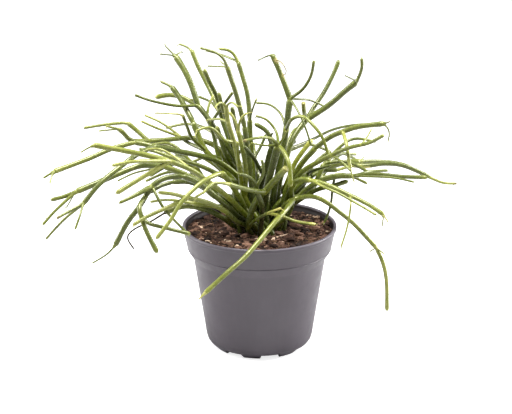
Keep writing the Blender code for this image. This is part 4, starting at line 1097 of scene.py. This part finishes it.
def whiskers(points, radius, random):
    """The pale, hair-thin new growth at a stem's end, as lines and their radii."""
    tip = points[-1]
    direction = tip - points[-4]
    direction /= np.linalg.norm(direction)
    found = []
    for _ in range(int(random.integers(1, 4))):
        lean = random.normal(size=3)
        lean -= direction * (lean @ direction)
        lean /= np.linalg.norm(lean)
        away = direction * random.uniform(0.5, 1.0) + lean * random.uniform(0.4, 0.9)
        reach = random.uniform(2.2, 5.5) * MM
        start = tip - direction * 1.2 * radius
        share = np.linspace(0, 1, WHISKER_RINGS)[:, None]
        droop = np.array([0, 0, -0.25]) * share**2
        widths = np.linspace(*WHISKER_RADII, WHISKER_RINGS) * MM
        found.append((start + reach * (share * away + droop), widths))
    return found


def areole_spots(points, radii, stations, length, phase):
    """Where areoles sit on a stem, in a spiral and not on the soil, and which way each looks."""
    across, upward = rings_around(points)
    found = []
    for count, place in enumerate(np.arange(5 * MM, length - 3 * MM, AREOLE_STEP)):
        ring = int(np.searchsorted(stations, place))
        if points[ring][2] < SOIL_MIDDLE + 3 * MM and math.hypot(*points[ring][:2]) < RIM_RADIUS:
            continue
        angle = phase + count * GOLDEN_ANGLE
        outward = across[ring] * math.cos(angle) + upward[ring] * math.sin(angle)
        found.append((points[ring] + outward * radii[ring], outward))
    return found


def fine_stem(name, number, line, raw, is_tip, is_cut, random):
    """A stem and what grows from its end: closed tubes, colour samples and spots for areoles."""
    length = walked_along(line)[-1]
    tip_length = (1.5 if is_tip else 1.15) * raw[-1]
    stations = stem_stations(length, tip_length, is_cut)
    points, radii = sample(line, raw, stations)
    phase = random.uniform(0, 100)
    radii = stem_radii(stations, radii, length, tip_length, number > 0, is_cut, phase)
    ripe_and_lit = ripeness_and_light_along(name, number, stations, points, raw.max(), length, random)
    dry = dryness_along(name, number, stations, length, is_cut)
    sides = TWIG_SIDES if raw.max() < TWIG_RADIUS else STEM_SIDES
    tubes = [skinned(points, radii, sides, phase, furrows(stations, sides, phase))]
    samples = list(zip(points, ripe_and_lit, dry))
    if is_tip and not is_cut and dry[-1] == 0:
        for strand, widths in whiskers(points, raw[-1], random):
            tubes.append(skinned(strand, widths, WHISKER_SIDES))
            samples += [(point, ripe_and_lit[-1] + 0.15, 0.0) for point in strand[3:]]
    for way, widths in TENDRILS.get((name, number), ()):
        strand = drawn([seen(*place) for place in way])
        tubes.append(skinned(strand, np.linspace(*widths, len(strand)) * MM, WHISKER_SIDES))
        samples += [(point, 1.0, 0.9) for point in strand[2:]]
    return tubes, samples, areole_spots(points, radii, stations, length, phase)


def fine_shoot(name, segments, clump, random, finishes):
    """One shoot: the union of its smooth stems, with areoles and whiskers, and colour attributes."""
    forked = {segment.start[0] for segment in segments if segment.start and segment.start[1] == -1}
    tubes, samples, dots = [], [], []
    for number, (numbers, _, is_cut) in enumerate(clump.lines[name]):
        line = evened(clump.points[numbers], 2 if number == 0 else 1)
        is_tip = number not in forked
        found = fine_stem(name, number, line, clump.radii[numbers], is_tip, is_cut, random)
        tubes += found[0]
        samples += found[1]
        dots += found[2]
    stem, *others = [add_body("stem_piece", *tube) for tube in tubes]
    shoot = combined(stem, others, "UNION", "MANIFOLD")
    shoot.name = f"fine_{name}"
    add_areoles(shoot.data, dots, random)
    paint(shoot.data, samples)
    shoot.data.materials.clear()
    for finish in finishes:
        shoot.data.materials.append(finish)
    shoot.data.shade_smooth()
    return shoot


def add_areoles(mesh, dots, random):
    """Small felted cushions, from which a stem's bristles grow."""
    shape = bmesh.new()
    shape.from_mesh(mesh)
    for centre, outward in dots:
        size = random.uniform(0.32, 0.55) * MM
        turn = Vector(outward).to_track_quat("Z", "Y").to_matrix().to_4x4()
        place = Matrix.Translation(Vector(centre)) @ turn @ Matrix.Diagonal((size, size, 0.5 * size, 1))
        made = bmesh.ops.create_icosphere(shape, subdivisions=1, radius=1, matrix=place)
        for face in {face for vertex in made["verts"] for face in vertex.link_faces}:
            face.material_index = 1
    shape.to_mesh(mesh)
    shape.free()


def paint(mesh, samples):
    """Gives each vertex the ripeness, with its painted light and shade, and the dryness of the nearest point
    on a stem's middle line.
    """
    tree = KDTree(len(samples))
    for number, (point, _, _) in enumerate(samples):
        tree.insert(point, number)
    tree.balance()
    nearest = [tree.find(vertex.co)[1] for vertex in mesh.vertices]
    for name, column in (("ripeness_and_light", 1), ("dryness", 2)):
        layer = mesh.attributes.new(name, "FLOAT", "POINT")
        layer.data.foreach_set("value", [float(samples[number][column]) for number in nearest])


# Pot.

def wall_radius(height):
    """The pot's outer radius at a height between its heel and its rim."""
    heights = (HEEL_HEIGHT, STEP_HEIGHT, COLLAR_FOOT, POT_HEIGHT - 4 * MM)
    radii = (HEEL_RADIUS, STEP_RADIUS, COLLAR_FOOT_RADIUS, RIM_RADIUS - 1 * MM)
    return float(np.interp(height, heights, radii))


def rounded(profile, size, steps=4):
    """The profile with each inner corner rounded, in (radius, height) pairs."""
    done = [profile[0]]
    for before, corner, after in zip(profile, profile[1:], profile[2:]):
        corner = np.array(corner)
        ways = [np.array(point) - corner for point in (before, after)]
        lengths = [np.linalg.norm(way) for way in ways]
        cut = min(size, 0.45 * min(lengths))
        start, end = (corner + cut * way / span for way, span in zip(ways, lengths))
        for share in np.linspace(0, 1, steps):
            done.append(tuple((1 - share)**2 * start + 2 * share * (1 - share) * corner + share**2 * end))
    done.append(profile[-1])
    return done


def turned(name, profile, steps, finish):
    """The closed body that the profile, in (radius, height) pairs, makes when turned round the axis."""
    edges = [(number, number + 1) for number in range(len(profile) - 1)]
    made = add_body(name, [(radius, 0, height) for radius, height in profile], [], [finish], edges)
    screw = made.modifiers.new("Turn", "SCREW")
    screw.steps = steps
    screw.render_steps = steps
    screw.use_merge_vertices = True
    screw.merge_threshold = 0.00002
    return made


def pot_profile():
    """Half of the pot's section, from the middle of its floor over the lip to the middle of its underside."""
    inner_heights = (9.5 * MM, STEP_HEIGHT + 0.8 * MM, COLLAR_FOOT + 0.6 * MM, POT_HEIGHT - 3 * MM)
    return [
        (0, FLOOR_TOP), (33 * MM, FLOOR_TOP), (38 * MM, FLOOR_TOP + 1.8 * MM),
        *[(wall_radius(height) - WALL, height) for height in inner_heights],
        (RIM_RADIUS - 2.7 * MM, POT_HEIGHT - 0.9 * MM), (RIM_RADIUS - 2.2 * MM, POT_HEIGHT - 0.1 * MM),
        (RIM_RADIUS - 0.6 * MM, POT_HEIGHT), (RIM_RADIUS, POT_HEIGHT - 0.6 * MM),
        (RIM_RADIUS, POT_HEIGHT - 2.4 * MM), (RIM_RADIUS - 0.9 * MM, POT_HEIGHT - 3.2 * MM),
        (COLLAR_FOOT_RADIUS + 0.35 * MM, COLLAR_FOOT + 1.3 * MM),
        (COLLAR_FOOT_RADIUS, COLLAR_FOOT + 1.1 * MM), (COLLAR_FOOT_RADIUS, COLLAR_FOOT + 0.5 * MM),
        (COLLAR_FOOT_RADIUS + 0.3 * MM, COLLAR_FOOT + 0.3 * MM), (COLLAR_FOOT_RADIUS, COLLAR_FOOT - 0.4 * MM),
        (STEP_RADIUS + 0.4 * MM, STEP_HEIGHT + 0.5 * MM), (STEP_RADIUS, STEP_HEIGHT - 0.8 * MM),
        (HEEL_RADIUS, HEEL_HEIGHT), (HEEL_RADIUS - 0.8 * MM, 6 * MM), (HEEL_RADIUS - 2.4 * MM, 3.6 * MM),
        (FOOT_RADIUS + 0.3 * MM, 0.6 * MM), (FOOT_RADIUS - 0.2 * MM, 0), (FOOT_RADIUS - FOOT_WIDTH, 0),
        (FOOT_RADIUS - FOOT_WIDTH - 0.4 * MM, FOOT_HEIGHT), (16 * MM, FOOT_HEIGHT),
        (15.6 * MM, FOOT_HEIGHT - 0.5 * MM), (14.6 * MM, FOOT_HEIGHT - 0.5 * MM), (14.2 * MM, FOOT_HEIGHT),
        (0, FOOT_HEIGHT),
    ]


def pot_cutters():
    """Blocks where the gaps between the feet are, and pegs where the drainage holes are."""
    cutters, holes = [], []
    for number in range(FOOT_GAPS):
        angle = math.radians(FIRST_GAP_DEG + 360 / FOOT_GAPS * number)
        place = (*around(FOOT_GAP_CIRCLE, angle), 0.5 * FOOT_GAP_HEIGHT - MM)
        bpy.ops.mesh.primitive_cube_add(size=1, location=place, rotation=(0, 0, angle))
        block = bpy.context.object
        block.scale = (CUT_DEPTH, FOOT_GAP_WIDTH, FOOT_GAP_HEIGHT + 2 * MM)
        cutters.append(block)
        holes.append(around(DRAIN_CIRCLE, angle + math.pi / FOOT_GAPS))
    for hole in [*holes, (0, 0)]:
        bpy.ops.mesh.primitive_cylinder_add(
            vertices=HOLE_SIDES, radius=DRAIN_RADIUS, depth=CUT_DEPTH, location=(*hole, FLOOR_TOP))
        cutters.append(bpy.context.object)
    return cutters


def fine_pot(finish):
    pot = turned("fine_pot", rounded(pot_profile(), CORNER_ROUNDING), POT_TURN_STEPS, finish)
    combined(pot, pot_cutters(), "DIFFERENCE", "EXACT")
    pot.data.shade_smooth()
    pot.data.set_sharp_from_angle(angle=SHARP_ANGLE)
    return pot


# Soil.

def crumbs(x, y):
    """How far the soil's crumbs stand above its mound."""
    lumps = noise.noise(Vector((x, y, 0)) / CRUMB_SIZES[0])
    grains = noise.noise(Vector((x, y, 5 * MM)) / CRUMB_SIZES[1])
    return (CRUMB_HEIGHTS[0] * lumps + CRUMB_HEIGHTS[1] * grains) * MM


def fine_soil(finish):
    """A closed plug whose top is crumbled."""
    gap = WALL + SIDE_GAP
    edge = wall_radius(SOIL_EDGE) - gap
    vertices, faces = [(0, 0, soil_height(0, 0))], []
    angles = np.linspace(0, 2 * math.pi, CRUMB_SPOKES, endpoint=False)
    for ring in range(1, CRUMB_RINGS + 1):
        low = 0.4 * MM if ring == CRUMB_RINGS else 0
        for angle in angles:
            x, y = around(ring / CRUMB_RINGS * edge, angle)
            vertices.append((x, y, soil_height(x, y) + crumbs(x, y) - low))
    sides = (COLLAR_FOOT + 0.6 * MM, STEP_HEIGHT + 0.8 * MM, 10 * MM)
    bottom = FLOOR_TOP + SEAT_GAP
    flanks = [(wall_radius(z) - gap, z) for z in sides] + [(37.3 * MM, bottom + 2 * MM), (32.6 * MM, bottom)]
    for radius, height in flanks:
        vertices += [(*around(radius, angle), height) for angle in angles]
    vertices.append((0, 0, bottom))
    rows = CRUMB_RINGS + len(flanks)
    for spoke in range(CRUMB_SPOKES):
        beside = (spoke + 1) % CRUMB_SPOKES
        faces.append((0, 1 + spoke, 1 + beside))
        for row in range(rows - 1):
            a, b = 1 + row * CRUMB_SPOKES + spoke, 1 + row * CRUMB_SPOKES + beside
            faces.append((a, a + CRUMB_SPOKES, b + CRUMB_SPOKES, b))
        last = 1 + (rows - 1) * CRUMB_SPOKES
        faces.append((last + spoke, len(vertices) - 1, last + beside))
    return add_body("fine_soil", vertices, faces, [finish])


def bark_chips(roots, finish):
    """Irregular flakes of bark, strewn over the soil and clear of the stems."""
    random = np.random.default_rng(SOIL_SEED)
    edge = wall_radius(SOIL_EDGE) - WALL - 2.5 * MM
    shape = bmesh.new()
    tones = []
    for _ in range(CHIPS):
        reach = edge * math.sqrt(random.uniform())
        x, y = around(reach, random.uniform(0, 2 * math.pi))
        if min(math.dist((x, y), root) for root in roots.values()) < CHIP_CLEARANCE:
            continue
        size = (0.7 + 2.3 * random.uniform()**2.4) * MM
        stretch = size * np.array([random.uniform(*limits) for limits in ((1, 1.7), (0.6, 1), (0.3, 0.65))])
        place = Matrix.Translation((x, y, soil_height(x, y) + crumbs(x, y) + 0.35 * stretch[2]))
        spin = Matrix.Rotation(random.uniform(0, 2 * math.pi), 4, "Z")
        turn = spin @ Matrix.Rotation(random.normal() * 0.35, 4, "X")
        made = bmesh.ops.create_icosphere(shape, subdivisions=2 if size > 2 * MM else 1, radius=1)
        shift = random.uniform(0, 100)
        for vertex in made["verts"]:
            rough = 1 + 0.5 * noise.noise(vertex.co * 1.3 + Vector((shift, 0, 0)))
            box = vertex.co / max(abs(c) for c in vertex.co)
            vertex.co = (0.6 * vertex.co + 0.4 * box) * rough
            vertex.co = place @ turn @ Vector([part * factor for part, factor in zip(vertex.co, stretch)])
        tone = 1.2 if random.uniform() < WHITE_CHIPS else random.beta(1.3, 1.7)
        tones += [tone] * len(made["verts"])
    mesh = bpy.data.meshes.new("bark_chips")
    shape.to_mesh(mesh)
    shape.free()
    layer = mesh.attributes.new("tone", "FLOAT", "POINT")
    layer.data.foreach_set("value", tones)
    return add_object("bark_chips", mesh, [finish])


def coir_fibres(finish):
    """Thin strands that lie on the soil."""
    random = np.random.default_rng(SOIL_SEED + 1)
    edge = wall_radius(SOIL_EDGE) - WALL - 4 * MM
    vertices, faces = [], []
    for _ in range(FIBRES):
        heading, spin = random.uniform(0, 2 * math.pi, 2)
        place = np.array(around(edge * math.sqrt(random.uniform()), spin))
        points = []
        for _ in range(int(random.integers(6, 12))):
            place = place + around(1.5 * MM, heading)
            heading += random.normal() * 0.35
            if np.hypot(*place) < edge:
                x, y = place
                top = soil_height(x, y) + max(0, crumbs(x, y))
                points.append((x, y, top + random.uniform(0.2, 0.9) * MM))
        if len(points) > 3:
            widths = np.full(len(points), random.uniform(0.1, 0.2) * MM)
            new_vertices, new_faces = skinned(np.array(points), widths, FIBRE_SIDES)
            faces += [tuple(number + len(vertices) for number in face) for face in new_faces]
            vertices += new_vertices
    return add_body("coir_fibres", vertices, faces, [finish])


# Studio.

def add_camera():
    made = bpy.data.objects.new("camera", bpy.data.cameras.new("camera"))
    bpy.context.scene.collection.objects.link(made)
    made.data.sensor_width = SENSOR_MM
    made.data.lens = SENSOR_MM * VIEW_DISTANCE / (PICTURE_WIDTH_PX * PIXEL)
    made.data.clip_start = 0.05
    made.data.clip_end = 20
    x, z = VIEW_AIM
    made.location = (x, -VIEW_DISTANCE * math.cos(VIEW_TILT), z + VIEW_DISTANCE * math.sin(VIEW_TILT))
    made.rotation_euler = (math.pi / 2 - VIEW_TILT, 0, 0)
    bpy.context.scene.camera = made


def add_light(name, place, size, power):
    """A rectangular light that looks at the pot."""
    made = bpy.data.objects.new(name, bpy.data.lights.new(name, "AREA"))
    bpy.context.scene.collection.objects.link(made)
    made.data.shape = "RECTANGLE"
    made.data.size, made.data.size_y = size
    made.data.energy = power
    made.location = place
    made.rotation_euler = (Vector(LIGHT_AIM) - Vector(place)).to_track_quat("-Z", "Y").to_euler()


def seen_directly(tree):
    """1 where the camera looks straight at the surroundings or the floor, and 0 for their light."""
    return tree.nodes.new("ShaderNodeLightPath").outputs["Is Camera Ray"]


def add_surroundings():
    world = bpy.data.worlds.new("studio")
    bpy.context.scene.world = world
    world.use_nodes = True
    tree, background = world.node_tree, world.node_tree.nodes["Background"]
    strength = spread(tree, seen_directly(tree), 0, 1, AMBIENT, BACKDROP)
    tree.links.new(strength, background.inputs["Strength"])
    background.inputs["Color"].default_value = (1, 1, 1, 1)


def add_floor():
    """A pale floor that looks as white as the surroundings and takes the plant's soft shadow."""
    mesh = bpy.data.meshes.new("floor")
    shape = bmesh.new()
    bmesh.ops.create_circle(shape, cap_ends=True, segments=96, radius=FLOOR_RADIUS)
    shape.to_mesh(mesh)
    shape.free()
    made, tree, shader = new_material(
        "pale_floor", Roughness=0.9, Specular_IOR_Level=0.1, Emission_Color=(1, 1, 1, 1))
    tone = ramp(tree, place_noise(tree, 6), [(0.3, (186, 186, 186)), (0.7, (190, 190, 190))])
    tree.links.new(tone, shader.inputs["Base Color"])
    glow = maths(tree, "MULTIPLY", seen_directly(tree), FLOOR_GLOW)
    tree.links.new(glow, shader.inputs["Emission Strength"])
    floor = add_object("floor", mesh, [made])
    floor.location.z = FLOOR_LEVEL


def dress_shoots(shoots, clump):
    """Puts a fine piece in place of each shoot's solid, thick ones in a deeper green."""
    random = np.random.default_rng(STEM_SEED)
    greens = {tone: stem_material(f"{tone}_green_skin") for tone in ("deep", "fresh")}
    areoles = areole_material()
    for name, segments in shoots.items():
        tone = "deep" if segments[0].radii[0] > DEEP_RADIUS else "fresh"
        shoot = fine_shoot(name, segments, clump, random, [greens[tone], areoles])
        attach(shoot, "root")
        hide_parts(f"shoot_{name}")


def dress_pot(roots):
    """Puts fine pieces in place of the pot's and the soil's solids, and strews the soil."""
    pot = fine_pot(plastic_material())
    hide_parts("pot")
    soil = fine_soil(soil_material())
    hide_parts("soil")
    chips = bark_chips(roots, chip_material())
    fibres = coir_fibres(fibre_material())
    for piece in (pot, soil, chips, fibres):
        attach(piece, "root")


def main():
    shoots = {
        name: [segment._replace(places=[seen(*place) for place in segment.places]) for segment in segments]
        for name, segments in SHOOTS.items()
    }
    shoots.update(places_by_rule())
    roots = choose_roots(shoots)
    clump = Clump(shoots, roots)
    clump.bend_clear()
    dress_shoots(shoots, clump)
    dress_pot(roots)
    add_camera()
    for name, light in LIGHTS.items():
        add_light(name, *light)
    add_surroundings()
    add_floor()
    bpy.context.scene.view_settings.view_transform = "Standard"


main()
